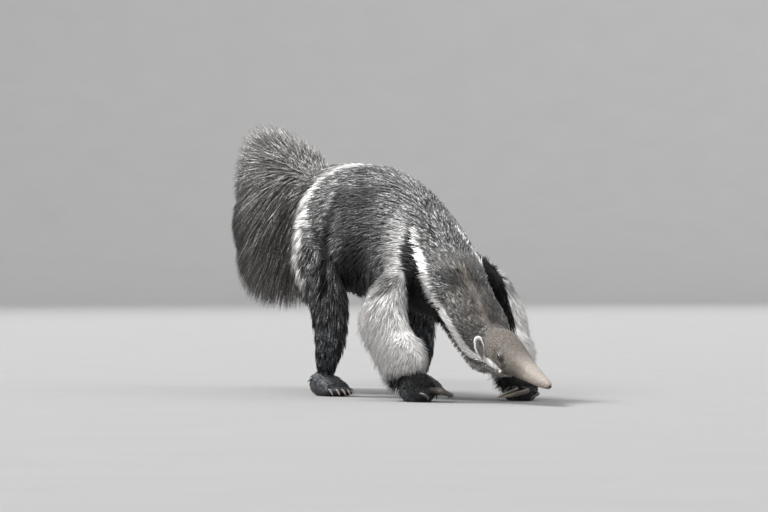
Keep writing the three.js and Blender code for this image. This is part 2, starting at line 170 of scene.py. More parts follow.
TORSO = stations(
    [0, 880, 540, 50, 54, 60],
    [0, 830, 535, 104, 138, 130],  # rump
    [0, 740, 508, 148, 186, 180],  # hips
    [0, 600, 485, 158, 196, 188],
    [0, 450, 475, 162, 192, 192],
    [0, 320, 455, 160, 166, 188],  # ribs
    [0, 200, 418, 152, 124, 176],  # shoulders
    [0, 90, 368, 136, 94, 158],
    [0, 0, 325, 116, 86, 128],  # breast
    [0, -60, 297, 80, 66, 90],
)
NECK = stations(
    [0, 110, 375, 80, 60, 88],
    [2, 60, 340, 110, 66, 114],
    [6, -30, 278, 98, 70, 110],
    [12, -110, 216, 90, 62, 116],
    [15, -165, 178, 78, 46, 123],  # throat
    [15, -216, 154, 48, 33, 86],
)
HEAD = stations(
    [16, -160, 174, 34, 30, 50],
    [15, -192, 165, 52, 48, 92],
    [12, -245, 143, 53, 46, 77],  # ears and jaw
    [8, -300, 121, 45, 41, 49],  # eyes
    [2, -360, 101, 37, 34, 37],
    [-4, -415, 85, 30, 28, 29],
    [-10, -470, 70, 24, 23, 23],
    [-15, -522, 57, 18, 18, 18],
    [-18, -548, 51, 12, 12, 12],
)
TAIL = stations(
    [20, 1440, 580, 12, 26, 70],
    [20, 1390, 612, 26, 46, 126],
    [18, 1290, 644, 36, 54, 168],
    [12, 1170, 652, 44, 56, 192],
    [4, 1040, 632, 56, 60, 180],
    [0, 930, 596, 70, 76, 146],
    [0, 850, 560, 80, 84, 120],
    [0, 790, 540, 60, 60, 70],
)


def hind_leg(side, stride):
    x, y = side * HIND_TRACK, HIND_FOOT_Y + stride
    return [
        [side * 0.090, 0.710 + stride * 0.1, 0.550, 0.040, 0.060, 0.060],
        [side * 0.112, 0.690 + stride * 0.2, 0.480, 0.056, 0.100, 0.110],
        [side * 0.135, 0.650 + stride * 0.4, 0.400, 0.056, 0.100, 0.110],  # thigh
        [side * 0.134, 0.575 + stride * 0.7, 0.320, 0.056, 0.080, 0.076],  # knee
        [side * 0.131, HIND_FOOT_Y - 0.006 + stride * 0.9, 0.220, 0.052, 0.064, 0.058],
        [side * 0.136, y - 0.002, 0.120, 0.046, 0.054, 0.052],  # ankle
        [x, y + 0.018, 0.050, 0.036, 0.046, 0.046],
    ]


def hind_foot(side, stride):
    x, y = side * HIND_TRACK, HIND_FOOT_Y + stride
    return [
        [x, y + 0.072, 0.034, 0.030, 0.034, 0.040],  # heel
        [x, y + 0.032, 0.034, 0.040, 0.038, 0.040],
        [x, y - 0.018, 0.028, 0.046, 0.032, 0.040],
        [x, y - 0.062, 0.022, 0.044, 0.024, 0.040],
        [x, y - 0.086, 0.018, 0.034, 0.018, 0.030],  # roots of the toes
    ]


def fore_leg(side, stride):
    return [
        [side * 0.090, 0.130, 0.430, 0.040, 0.050, 0.060],
        [side * 0.108, 0.124 + stride * 0.1, 0.375, 0.044, 0.072, 0.095],
        [side * 0.150, 0.118 + stride * 0.6, 0.315, 0.062, 0.082, 0.100],  # upper arm
        [side * 0.172, 0.108 + stride * 0.9, 0.248, 0.070, 0.076, 0.100],  # elbow
        [side * 0.167, 0.072 + stride, 0.170, 0.068, 0.074, 0.092],
        [side * 0.157, FORE_FOOT_Y + 0.030 + stride, 0.105, 0.062, 0.086, 0.084],
        [side * FORE_TRACK, FORE_FOOT_Y + 0.004 + stride, 0.066, 0.050, 0.074, 0.062],
    ]


def fore_foot(side, stride):
    x, y = side * FORE_TRACK, FORE_FOOT_Y + stride
    return [
        [x, y + 0.052, 0.044, 0.032, 0.038, 0.050],
        [x, y + 0.014, 0.042, 0.048, 0.046, 0.050],
        [x, y - 0.030, 0.034, 0.048, 0.036, 0.050],
        [x, y - 0.064, 0.026, 0.034, 0.026, 0.034],  # knuckles
    ]


torso = Limb("torso", TORSO, flesh=0.020, ridge=0.25)
neck = Limb("neck", NECK, flesh=0.014, ridge=0.15)
head = Limb("head", HEAD, flesh=0.003)
tail = Limb("tail", TAIL, flesh=0.012)
limbs = [torso, neck, head, tail]
for side_name, side, fore_stride, hind_stride in SIDES:
    limbs.append(Limb("hindleg_" + side_name, hind_leg(side, hind_stride), flesh=0.012))
    limbs.append(Limb("hindfoot_" + side_name, hind_foot(side, hind_stride), flesh=0.002))
    limbs.append(Limb("foreleg_" + side_name, fore_leg(side, fore_stride), flesh=0.022))
    limbs.append(Limb("forefoot_" + side_name, fore_foot(side, fore_stride), flesh=0.002))
limb_named = {limb.name: limb for limb in limbs}

EYE_RADIUS = 0.008
EYE_SHARE = 0.36
EYE_RISE = 0.08
EYE_SUNK = 0.005


def turn_of(side, rise):
    """The angle round a limb for one side of the animal, raised from level."""
    return rise if side > 0 else math.pi - rise


def eye_centre(side):
    angle = turn_of(side, EYE_RISE)
    return head.at(EYE_SHARE, angle, 0.0) - head.out(EYE_SHARE, angle) * EYE_SUNK


# The limbs are placed from the right forefoot, and the shared frame lies under the middle of the animal.
eye_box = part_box("eye_right")
SHIFT = (np.array(eye_box[0]) + np.array(eye_box[1])) / 2 - eye_centre(-1)

TOES = 5
TOE_SPREAD = 0.032
TOE_RADIUS = 0.012


def toe_spot(side, stride, digit):
    share = (digit - (TOES + 1) / 2) / ((TOES - 1) / 2)
    lead = 0.088 - 0.014 * share * share - 0.004 * share
    x = side * (HIND_TRACK + share * TOE_SPREAD)
    return np.array([x, HIND_FOOT_Y + stride - lead, TOE_RADIUS + 0.001])


def placed(name, data):
    """An object of the scene that shows this mesh, camera or light."""
    made = bpy.data.objects.new(name, data)
    bpy.context.scene.collection.objects.link(made)
    return made


def smooth(mesh):
    mesh.polygons.foreach_set("use_smooth", np.ones(len(mesh.polygons), bool))


def mesh_object(name, corners, faces):
    """A smooth mesh piece in the shared frame, from corners measured as the limbs are."""
    mesh = bpy.data.meshes.new(name)
    mesh.from_pydata((np.asarray(corners) + SHIFT).tolist(), [], faces)
    smooth(mesh)
    mesh.update()
    return placed(name, mesh)


def corners_of(mesh):
    spots = np.zeros(len(mesh.vertices) * 3)
    mesh.vertices.foreach_get("co", spots)
    return spots.reshape(-1, 3) - SHIFT


def put_corners(mesh, corners):
    mesh.vertices.foreach_set("co", (corners + SHIFT).astype(np.float32).ravel())
    mesh.update()


all_corners = []
all_faces = []
for limb in limbs:
    corners, faces = limb.shell()
    base = sum(len(c) for c in all_corners)
    all_corners.append(corners)
    all_faces += [[base + k for k in face] for face in faces]
skin = mesh_object("skin", np.vstack(all_corners), all_faces)
toe_ball = bmesh.new()
for _, side, _, hind_stride in SIDES:
    for digit in range(1, TOES + 1):
        for corner in bmesh.ops.create_icosphere(toe_ball, subdivisions=3, radius=TOE_RADIUS)["verts"]:
            corner.co.y *= 1.5
            corner.co += Vector(toe_spot(side, hind_stride, digit) + SHIFT)
toe_ball.from_mesh(skin.data)
toe_ball.to_mesh(skin.data)
toe_ball.free()

SKIN_VOXEL = 0.0055
grown = skin.modifiers.new("grown together", "REMESH")
grown.mode = "VOXEL"
grown.voxel_size = SKIN_VOXEL
grown.adaptivity = 0
whole = bpy.data.meshes.new_from_object(skin.evaluated_get(bpy.context.evaluated_depsgraph_get()))
skin.modifiers.clear()
skin.data = whole


def relax(mesh, times, share):
    """Moves each corner part of the way to the middle of its neighbours."""
    pairs = np.zeros(len(mesh.edges) * 2, int)
    mesh.edges.foreach_get("vertices", pairs)
    first, last = pairs.reshape(-1, 2).T
    spots = corners_of(mesh)
    count = np.bincount(pairs, minlength=len(spots))
    for _ in range(times):
        middle = np.zeros_like(spots)
        for axis in range(3):
            middle[:, axis] += np.bincount(first, spots[last, axis], len(spots))
            middle[:, axis] += np.bincount(last, spots[first, axis], len(spots))
        spots = spots + (middle / count[:, None] - spots) * share[:, None]
    put_corners(mesh, spots)


def finer(mesh, wanted):
    """Splits the faces whose corners all pass the test."""
    work = bmesh.new()
    work.from_mesh(mesh)
    keep = wanted(np.array([v.co for v in work.verts]) - SHIFT)
    edges = [e for e in work.edges if keep[e.verts[0].index] and keep[e.verts[1].index]]
    bmesh.ops.subdivide_edges(work, edges=edges, cuts=1, use_grid_fill=True)
    work.to_mesh(mesh)
    work.free()


SMOOTHED = [  # times, least share, further share and the steps along y (1) and z (2) that bound the place
    (12, 0.15, 0.40, [(1, -0.20, -0.10), (2, 0.06, 0.14)]),  # trunk
    (50, 0.0, 0.55, [(1, -0.15, -0.09), (1, 0.24, 0.14), (2, 0.22, 0.30)]),  # withers
    (30, 0.0, 0.55, [(1, -0.235, -0.210), (1, -0.11, -0.14), (2, 0.15, 0.18)]),  # nape
    (16, 0.0, 0.50, [(1, -0.285, -0.25), (1, -0.04, -0.09), (2, 0.135, 0.105)]),  # throat
]
for times, least, more, edges in SMOOTHED:
    spots = corners_of(skin.data)
    place_share = np.prod([step(spots[:, axis], low, high) for axis, low, high in edges], axis=0)
    relax(skin.data, times, least + more * place_share)

FACE_START = -0.195
SNOUT_DETAIL = 0.05
EYE_DETAIL = 0.026
finer(skin.data, lambda p: p[:, 1] < FACE_START)
snout_tip = head.spine.at(1.0)
eye_spots = [eye_centre(side) for _, side, _, _ in SIDES]


def near_detail(p):
    near = np.linalg.norm(p - snout_tip, axis=1) < SNOUT_DETAIL
    for spot in eye_spots:
        near |= np.linalg.norm(p - spot, axis=1) < EYE_DETAIL
    return near


finer(skin.data, near_detail)
finer(skin.data, near_detail)
spots = corners_of(skin.data)
relax(skin.data, 5, 0.5 * step(spots[:, 1], -0.18, -0.21))

# Every corner of the skin belongs to the limb whose surface is nearest, at a share along it and an angle
# round it. These give the lie of the coat, its markings and the skin's unwrap.
SAMPLES_ALONG = 150
SAMPLES_ROUND = 96
LIMB_MARGIN = 0.03
sample_u = np.repeat(np.linspace(0.004, 0.996, SAMPLES_ALONG), SAMPLES_ROUND)
sample_angle = np.tile(np.linspace(-math.pi, math.pi, SAMPLES_ROUND + 1)[:-1], SAMPLES_ALONG)
limb_trees = {}


def search_tree(places):
    tree = KDTree(len(places))
    for i, place in enumerate(places):
        tree.insert(place, i)
    tree.balance()
    return tree


def nearest_on(name, places):
    """The share along a limb, the angle round it and the distance, for each place."""
    found = np.array([limb_trees[name].find(place)[1:] for place in places])
    index = found[:, 0].astype(int)
    return sample_u[index], sample_angle[index], found[:, 1]


spots = corners_of(skin.data)
reach = np.full((len(limbs), len(spots)), 9.0)
for row, limb in enumerate(limbs):
    places = limb.at(sample_u, sample_angle)
    limb_trees[limb.name] = search_tree(places)
    low, high = places.min(0) - LIMB_MARGIN, places.max(0) + LIMB_MARGIN
    close = np.all((spots > low) & (spots < high), axis=1)
    if close.any():
        reach[row, close] = nearest_on(limb.name, spots[close])[2]
skin_limb = reach.argmin(0)
skin_names = np.array([limb.name for limb in limbs])[skin_limb]

# The head is a long tapering tube with a small round eye set low, a rounded crown, and a mouth that is only a
# short slit under two comma-shaped nostrils. Lids, nostrils and mouth are worked into the skin itself.
EYE_OPENING = (0.0078, 0.0052)
LID_HEIGHT = 0.0022
BROW_HEIGHT = 0.0016
SOCKET_DEPTH = 0.0014
EYE_HOLE_DEPTH = 0.011
NOSTRIL_APART = 0.0085
NOSTRIL_SIZE = (0.0045, 0.0024, 0.0075)
NOSTRIL_DEPTH = 0.0045
MOUTH_LENGTH = 0.040
SLIT_WIDTH, SLIT_DEPTH = 0.0011, 0.0028
LIP_WIDTH, LIP_HEIGHT = 0.0032, 0.0011
CROWN_HEIGHT = 0.004
FLOOR_CLEARANCE = 0.0008
snout_way = head.spine.way(1.0)
snout_side = unit(np.array([1.0, 0, 0]) - snout_way * snout_way[0])
snout_up = np.cross(snout_way, snout_side)


def hump(value, middle, spread):
    """A soft hump: 1 at its middle, falling away over the spread on both sides."""
    return np.exp(-(((value - middle) / spread) ** 2))


spots = corners_of(skin.data)
bare = np.zeros(len(spots))  # how dark and bare the skin is: lids, nostrils, lips and the nose
for centre, (_, side, _, _) in zip(eye_spots, SIDES):
    out = head.out(EYE_SHARE, turn_of(side, EYE_RISE))
    ahead = head.spine.way(EYE_SHARE)
    along = unit(ahead - out * (ahead @ out))
    above = np.cross(along, out) * side
    local = spots - centre
    x, y = local @ along, local @ above
    near = np.linalg.norm(local, axis=1) < 0.03
    ring = np.hypot(x / EYE_OPENING[0], (y + 0.0006) / EYE_OPENING[1])
    lid = LID_HEIGHT * step(ring, 0.75, 1.0) * step(ring, 2.3, 1.15)
    brow = BROW_HEIGHT * hump(y, 0.010, 0.005) * hump(x, 0, 0.013)
    hollow = -SOCKET_DEPTH * hump(ring, 3.0, 0.9)
    sunk = -EYE_HOLE_DEPTH * step(ring, 0.98, 0.6)
    spots += out * ((lid + brow + hollow + sunk) * near)[:, None]
    bare = np.maximum(bare, near * step(ring, 1.9, 1.25))

local = spots - snout_tip
ahead, across, above = local @ snout_way, local @ snout_side, local @ snout_up
long, high, wide = NOSTRIL_SIZE
for side in (-1, 1):
    nostril = np.hypot((ahead + 0.001) / long, (above - 0.0035 - 0.35 * (ahead + 0.001)) / high)
    nostril = np.hypot(nostril, (across - side * NOSTRIL_APART) / wide)
    spots += snout_side * (-side * NOSTRIL_DEPTH * step(nostril, 1.05, 0.35))[:, None]
    spots -= snout_way * (0.0025 * step(nostril, 1.0, 0.3))[:, None]
    bare = np.maximum(bare, 1.2 * step(nostril, 1.3, 0.7))
mouth_line = -0.0045 + 0.03 * np.minimum(ahead + 0.006, 0)
in_mouth = step(ahead, -MOUTH_LENGTH, -MOUTH_LENGTH + 0.008)
slit = hump(above, mouth_line, SLIT_WIDTH) * in_mouth
lips = hump(above, mouth_line, LIP_WIDTH) * in_mouth
snout_axes = np.stack([snout_side, snout_up, snout_way])
face_out = unit(rows(across, above * 0.6, np.maximum(ahead, 0)) + 1e-6) @ snout_axes
spots += face_out * (LIP_HEIGHT * lips - SLIT_DEPTH * slit)[:, None]
bare = np.maximum(bare, np.maximum(slit, 0.95 * step(ahead, -0.019, -0.002)) * (spots[:, 1] < -0.45))

# The crown is rounder than the tube in front of it.
crown = hump(spots[:, 1], -0.235, 0.05) * step(spots[:, 2], 0.14, 0.20) * (spots[:, 1] < -0.17)
spots[:, 2] += CROWN_HEIGHT * crown
spots[:, 2] = np.maximum(spots[:, 2], FLOOR_CLEARANCE)
smooth(skin.data)
put_corners(skin.data, spots)

# The markings are the animal's badge: a black wedge from throat to shoulder with a white line above it, pale
# forelegs, near-black wet hind legs, a grizzled grey back and a cream snout. Painted light is laid on too: rim
# light on the haunch's pale edge, painted shade in the flank's hollows and the haunch's fold, and painted
# light under the throat. Both sides are alike, but for weaker painted shade on the left. All lies on an
# upright plane
# slanted by 27 degrees: h along the flank, z up it.
SLANT = math.radians(27)
WEDGE_HEIGHTS = [0.088, 0.121, 0.165, 0.198, 0.242, 0.316, 0.390, 0.452, 0.478]
WEDGE_REAR = [-0.060, -0.073, -0.101, -0.137, -0.145, -0.148, -0.165, -0.152, -0.146]
WEDGE_FRONT_HEIGHTS = [0.107, 0.151, 0.195, 0.272, 0.324, 0.390, 0.465]
WEDGE_FRONT = [-0.004, -0.024, -0.029, -0.073, -0.092, -0.123, -0.134]
WHITE_LINE = [  # each drawn line has h, z and a half width at every point
    (-0.130, 0.484, 0.005), (-0.125, 0.435, 0.010), (-0.104, 0.374, 0.0125), (-0.084, 0.297, 0.010),
    (-0.057, 0.254, 0.009), (-0.029, 0.208, 0.0095), (-0.007, 0.169, 0.0105), (0.014, 0.142, 0.009),
    (0.035, 0.126, 0.0075), (0.057, 0.119, 0.0075), (0.071, 0.114, 0.008), (0.089, 0.100, 0.0065),
    (0.108, 0.087, 0.002),
]
WHITE_H, WHITE_Z, _ = np.array(WHITE_LINE).T


def slanted(p):
    return -np.abs(p[:, 0]) * math.cos(SLANT) - p[:, 1] * math.sin(SLANT), p[:, 2]


def patches(p, size, phase=0.0):
    """A soft uneven pattern between about -1 and 1, of patches of one size."""
    q = p * (2 * math.pi / size)
    wave = np.sin(q[:, 0] + 1.7 * np.sin(q[:, 1] * 0.7 + phase) + phase)
    wave += np.sin(q[:, 1] * 1.1 + 1.3 * np.sin(q[:, 2] * 0.8 + 2 * phase))
    return (wave + np.sin(q[:, 2] * 0.9 + 1.5 * np.sin(q[:, 0] * 0.6 + q[:, 1] * 0.5 + phase))) / 3


def line_distance(h, z, line):
    """The distance to a drawn line, as a share of the line's own half width there."""
    best = np.full(len(h), 99.0)
    spot = np.stack([h, z], -1)
    for first, last in zip(np.array(line[:-1]), np.array(line[1:])):
        span = last[:2] - first[:2]
        share = np.clip((spot - first[:2]) @ span / (span @ span), 0, 1)
        size = first[2] + (last[2] - first[2]) * share
        best = np.minimum(best, np.linalg.norm(spot - first[:2] - share[:, None] * span, axis=1) / size)
    return best


# Light hair edges the haunch from the small of the back to the thigh: pale hair with painted rim light on it.
# A painted shadow in the fold parts it from the leg.
HAUNCH_EDGE_PALE_AND_LIT = [
    (-0.190, 0.674, 0.004), (-0.277, 0.669, 0.006), (-0.342, 0.655, 0.008), (-0.394, 0.629, 0.010),
    (-0.428, 0.587, 0.010), (-0.446, 0.528, 0.010), (-0.456, 0.446, 0.010), (-0.460, 0.377, 0.009),
    (-0.440, 0.318, 0.007),
]
FLAP_EDGE = [(-0.352, 0.622, 0.005), (-0.360, 0.580, 0.005), (-0.368, 0.533, 0.005)]
HAUNCH_FOLD_SHADOW = [(-0.351, 0.556, 0.006), (-0.373, 0.487, 0.013), (-0.384, 0.418, 0.014), (-0.384, 0.300, 0.010)]
# Places where the coat is darker, from darker hair and painted shade in the hollows, as the middle, half
# length and half height of a soft oval, and how dark.
HOLLOWS_DARK_AND_SHADED = [
    (-0.330, 0.560, 0.030, 0.038, 0.65),
    (-0.265, 0.566, 0.044, 0.038, 0.65),
    (-0.285, 0.485, 0.060, 0.065, 0.50),
    (-0.300, 0.375, 0.048, 0.085, 0.93),
    (-0.225, 0.285, 0.040, 0.050, 0.60),
]
# Spots on the face: the surround of the eye, a smudge in front of it and the browner side of the snout.
SPOTS = [(0.104, 0.122, 0.014, 0.50), (0.113, 0.103, 0.010, 0.60), (0.147, 0.097, 0.026, 0.25)]


def nape(p):
    """The upper side of the neck, where the hair is brown and dark."""
    ridge = step(np.abs(p[:, 0]), 0.085, 0.045) * step(p[:, 1], 0.10, -0.04)
    return ridge * step(p[:, 2] + p[:, 1], -0.02, 0.07)


def under_line(h, z):
    """The throat and cheek, which lie below the white line."""
    return step(np.interp(h, WHITE_H, WHITE_Z) - z, 0.004, 0.012) * step(h, 0.155, 0.090)


def tone_and_painted_light(p, names):
    """A factor on the coat's colour: painted shade and darker hair in the flank's hollows, painted shade in
    the haunch's fold, darker hair on the mane and the face's spots, and painted light under the throat.
    """
    h, z = slanted(p)
    flank = (names == "torso") | np.char.startswith(names, "hindleg")
    near_side = 1 - 0.5 * step(p[:, 0], -0.03, 0.03)
    kept = np.ones(len(h))
    # Painted shade and darker hair in the flank's hollows, weaker on the left side.
    for middle_h, middle_z, half_length, half_height, dark in HOLLOWS_DARK_AND_SHADED:
        oval = np.hypot((h - middle_h) / half_length, (z - middle_z) / half_height)
        kept *= 1 - dark * near_side * step(oval, 1.35, 0.45) * flank * step(p[:, 1], 0.1, 0.2)
    # Painted shadow in the fold between the haunch and the leg.
    kept *= 1 - 0.85 * near_side * step(line_distance(h, z, HAUNCH_FOLD_SHADOW), 1.4, 0.6) * flank
    kept *= 1 - 0.45 * nape(p) * (0.8 + 0.5 * patches(p, 0.07, 1.0)) * (names != "head")
    # Painted light: the throat and cheek below the white line are lightened, as if reflected up from below.
    kept *= 1 + under_line(h, z) * np.select([names == "head", names == "neck"], [0.3, 0.8], 0.0)
    for middle_h, middle_z, radius, dark in SPOTS:
        spot = step(np.hypot(h - middle_h, z - middle_z), radius, 0.4 * radius)
        kept *= 1 - dark * (names == "head") * spot
    return kept


def markings(p, names):
    """Two colour rows for each place: black, white, cream; and wet dark leg, tail, face."""
    torso_part, neck_part, face = names == "torso", names == "neck", names == "head"
    fore, fore_paw = np.char.startswith(names, "foreleg"), np.char.startswith(names, "forefoot")
    hind, hind_paw = np.char.startswith(names, "hindleg"), np.char.startswith(names, "hindfoot")
    trunk = torso_part | neck_part
    wide, y = np.abs(p[:, 0]), p[:, 1]
    moved = np.where(names == "foreleg_left", -0.8 * LEFT_FORE_STEP, 0.0)
    h, z = slanted(p - rows(0, moved * step(p[:, 2], 0.16, 0.23), 0))

    from_rear = h - np.interp(z, WEDGE_HEIGHTS, WEDGE_REAR)
    front = np.interp(z, WEDGE_FRONT_HEIGHTS, WEDGE_FRONT)
    below = np.interp(h, WHITE_H, WHITE_Z, left=0.49, right=0.06) - z
    throat_edge = np.interp(z, [0.10, 0.15, 0.19, 0.21], [-0.025, -0.035, -0.026, -0.018])
    wedge = step(from_rear, -0.003, 0.004) * step(below, 0.0, 0.005)
    wedge *= np.where(z > 0.27, step(front - h, -0.010, 0.004), 1.0)
    wedge_end = np.where(fore, step(z, 0.085, 0.10), step(throat_edge - h, -0.004, 0.006))
    wedge *= (trunk | fore) * step(z, 0.488, 0.474) * wedge_end
    inner_arm = fore * step(wide, 0.125, 0.095) * step(z, 0.34, 0.28)
    breast = trunk * step(z - 0.18 + 0.6 * y, 0.03, -0.02) * step(wide, 0.10, 0.05) * step(y, -0.04, 0.02)
    wrist = (fore | fore_paw) * step(z, 0.078, 0.064) * step(z, 0.030, 0.044)
    black = np.maximum.reduce([wedge, 0.85 * inner_arm, 0.9 * breast * step(y, 0.3, 0.2), wrist])

    border = step(from_rear, -0.075, -0.012) * step(from_rear, 0.004, -0.004)
    border *= step(z, 0.22, 0.30) * step(z, 0.56, 0.44) * (trunk | fore) * (1 - black)
    # Pale hair along the haunch's edge, with painted rim light on it.
    haunch = step(line_distance(h, z, HAUNCH_EDGE_PALE_AND_LIT), 1.5, 0.4) * (torso_part | hind)
    haunch *= np.maximum(step(wide, 0.070, 0.105), 0.65 * step(y, 0.80, 0.72) * step(z, 0.56, 0.62))
    flap = step(line_distance(h, z, FLAP_EDGE), 1.3, 0.6) * torso_part
    sleeve = step(z + 0.018 * patches(p, 0.08), 0.335, 0.262) * fore * (1 - black)
    line = step(line_distance(h, z, WHITE_LINE), 1.12, 0.82) * (trunk | face)
    rump = step(y, 0.3, 0.42)
    grizzled = (0.42 + 0.2 * patches(p, 0.05)) * border
    white = np.maximum.reduce([line, grizzled, haunch * rump, 0.35 * flap * rump, sleeve])

    streak = step(np.abs(p[:, 0] + 0.004 + 0.006 * patches(p, 0.05)), 0.016, 0.006) * neck_part
    streak *= step(y, -0.195, -0.175) * step(y, 0.0, -0.05) * step(z + y, -0.05, 0.0)
    cream = face * (0.06 + 0.94 * step(y - 0.25 * (z - 0.09), -0.34, -0.45))
    cream = np.maximum(cream, streak * (0.55 + 0.3 * patches(p, 0.045, 3.0)))
    wet = hind * (0.15 + 0.80 * step(z + 0.05 * patches(p, 0.11, 2.0), 0.36, 0.12))
    wet = np.maximum(wet, 0.95 * (fore_paw | hind_paw))
    buff = face * step(y, -0.160, -0.200) * (1 - 0.8 * under_line(h, z))
    buff = np.maximum(buff, 0.5 * nape(p) * neck_part)
    return rows(black, white, cream), rows(wet, names == "tail", buff)


# Each limb has its own rectangle of the skin's unwrap: round the limb runs across it, along the limb up it.
CHARTS = {
    "torso": (0.01, 0.01, 0.50, 0.44),
    "tail": (0.53, 0.01, 0.46, 0.44),
    "neck": (0.01, 0.47, 0.24, 0.24),
    "head": (0.27, 0.47, 0.24, 0.24),
}
for k, side_name in enumerate(("right", "left")):
    CHARTS["foreleg_" + side_name] = (0.01 + 0.26 * k, 0.73, 0.24, 0.26)
    CHARTS["hindleg_" + side_name] = (0.53 + 0.24 * k, 0.47, 0.22, 0.24)
    CHARTS["hindfoot_" + side_name] = (0.53 + 0.24 * k, 0.73, 0.22, 0.12)
    CHARTS["forefoot_" + side_name] = (0.53 + 0.24 * k, 0.87, 0.22, 0.12)
CHART_MARGIN = 0.06


def unwrapped(name, u, angle):
    left, low, wide, tall = CHARTS[name]
    turn = (angle / (2 * math.pi) + 0.5 + CHART_MARGIN) / (1 + 2 * CHART_MARGIN)
    return rows(left + wide * turn, low + tall * u)


def loop_corners(mesh):
    """The corner that each loop of the mesh stands at."""
    index = np.zeros(len(mesh.loops), int)
    mesh.loops.foreach_get("vertex_index", index)
    return index


def lay_out(mesh, places):
    """Puts each loop of the mesh at its place on the unwrap."""
    mesh.uv_layers.new(name="OFBake").data.foreach_set("uv", places.astype(np.float32).ravel())


spots = corners_of(skin.data)
loop_corner = loop_corners(skin.data)
face_start = np.zeros(len(skin.data.polygons), int)
skin.data.polygons.foreach_get("loop_start", face_start)
loop_face = np.repeat(np.arange(len(face_start)), np.diff(np.append(face_start, len(loop_corner))))
face_limb = skin_limb[loop_corner[face_start]]
loop_uv = np.zeros((len(loop_corner), 2))
for row, limb in enumerate(limbs):
    mine = face_limb[loop_face] == row
    used, back = np.unique(loop_corner[mine], return_inverse=True)
    if not len(used):
        continue
    u, angle, _ = nearest_on(limb.name, spots[used])
    angle = angle[back]
    first_angle = np.zeros(len(loop_corner))
    first_angle[mine] = angle
    start_angle = first_angle[face_start][loop_face[mine]]
    angle = np.where(angle - start_angle > math.pi, angle - 2 * math.pi, angle)
    angle = np.where(start_angle - angle > math.pi, angle + 2 * math.pi, angle)
    loop_uv[mine] = unwrapped(limb.name, u[back], angle)
lay_out(skin.data, loop_uv)


def paint(mesh, name, values):
    """Keeps three numbers for each corner, as a colour attribute that the finish reads."""
    kept = mesh.color_attributes.new(name, "FLOAT_COLOR", "POINT")
    kept.data.foreach_set("color", np.c_[values, np.ones(len(values))].astype(np.float32).ravel())


skin_marks, skin_zones = markings(spots, skin_names)
paint(skin.data, "markings", skin_marks)
paint(skin.data, "zones", skin_zones)
# The skin's second number is the coat's tone, with its painted shade and painted light.
paint(skin.data, "bare", rows(bare, tone_and_painted_light(spots, skin_names), 0))


class Wire:
    """One output of a material's nodes, which sums and products can be written with."""

    def __init__(self, finish, socket):
        self.finish = finish
        self.socket = socket

    def sum(self, operation, *values):
        return self.finish.add("Math", {"operation": operation}, dict(enumerate(values)))

    def __add__(self, other):
        return self.sum("ADD", self, other)

    def __sub__(self, other):
        return self.sum("SUBTRACT", self, other)

    def __rsub__(self, other):
        return self.sum("SUBTRACT", other, self)

    def __mul__(self, other):
        return self.sum("MULTIPLY", self, other)

    __radd__ = __add__
    __rmul__ = __mul__

    def between(self, low, high):
        """A soft step, 0 below low and 1 above high."""
        settings = {"interpolation_type": "SMOOTHSTEP"}
        return self.finish.add("MapRange", settings, {"Value": self, "From Min": low, "From Max": high})


class Finish:
    """A material, with the nodes that give its looks."""

    def __init__(self, name, **plain):
        self.material = bpy.data.materials.new(name)
        self.material.use_nodes = True
        self.tree = self.material.node_tree
        self.shader = next(n for n in self.tree.nodes if n.type == "BSDF_PRINCIPLED")
        for socket, value in plain.items():
            self.shader.inputs[socket.replace("_", " ")].default_value = value

    def add(self, kind, settings=None, sockets=None, output=0):
        node = self.tree.nodes.new("ShaderNode" + kind)
        for setting, value in (settings or {}).items():
            setattr(node, setting, value)
        for socket, value in (sockets or {}).items():
            self.feed(node.inputs[socket], value)
        return Wire(self, node.outputs[output])

    def feed(self, socket, value):
        if isinstance(value, Wire):
            self.tree.links.new(value.socket, socket)
        elif isinstance(value, tuple) and len(value) == 3 and socket.type == "RGBA":
            socket.default_value = (*value, 1)
        else:
            socket.default_value = value

    def mix(self, share, first, second, blend="MIX"):
        settings = {"data_type": "RGBA", "blend_type": blend, "clamp_factor": True}
        return self.add("Mix", settings, {0: share, 6: first, 7: second}, output=2)

    def kept(self, name):
        """The three numbers that were painted on the corners under this name."""
        colour = self.add("Attribute", {"attribute_name": name}, output="Color")
        return [self.add("SeparateColor", {}, {0: colour}, output=i) for i in range(3)]

    def noise(self, scale, detail=2.0, rough=0.5, stretch=None):
        spot = self.add("TexCoord", output="Object")
        if stretch:
            spot = self.add("Mapping", {}, {"Vector": spot, "Scale": stretch})
        values = {"Vector": spot, "Scale": scale, "Detail": detail, "Roughness": rough}
        return self.add("TexNoise", {}, values)

    def wear(self, colour, roughness, height=None, depth=0.001, strength=0.5):
        """Joins the colour, the roughness and the relief to the shader."""
        self.feed(self.shader.inputs["Base Color"], colour)
        self.feed(self.shader.inputs["Roughness"], roughness)
        if height is not None:
            relief = self.add("Bump", {}, {"Height": height, "Distance": depth, "Strength": strength})
            self.feed(self.shader.inputs["Normal"], relief)
        return self.material


def grey(value, warmth=0.0):
    return (value * (1 + warmth), value, value * (1 - warmth))


# Colours of the coat, each as a root, a body and a light band near the tip of the hair.
GRIZZLE = (grey(0.018, 0.05), grey(0.085, 0.03), grey(0.52, 0.01))
TAIL_HAIR = (grey(0.020, 0.12), grey(0.082, 0.07), grey(0.54, 0.03))
FACE_HAIR = (grey(0.044, 0.20), grey(0.110, 0.17), grey(0.205, 0.12))
WET_HAIR = (grey(0.006), grey(0.026, -0.12), grey(0.26, -0.06))
WHITE_HAIR = (grey(0.92, 0.03), grey(0.96, 0.02), grey(0.97, 0.01))
BLACK_HAIR = (grey(0.003), grey(0.005), grey(0.016))
CREAM_HAIR = (grey(0.235, 0.17), grey(0.31, 0.14), grey(0.39, 0.10))


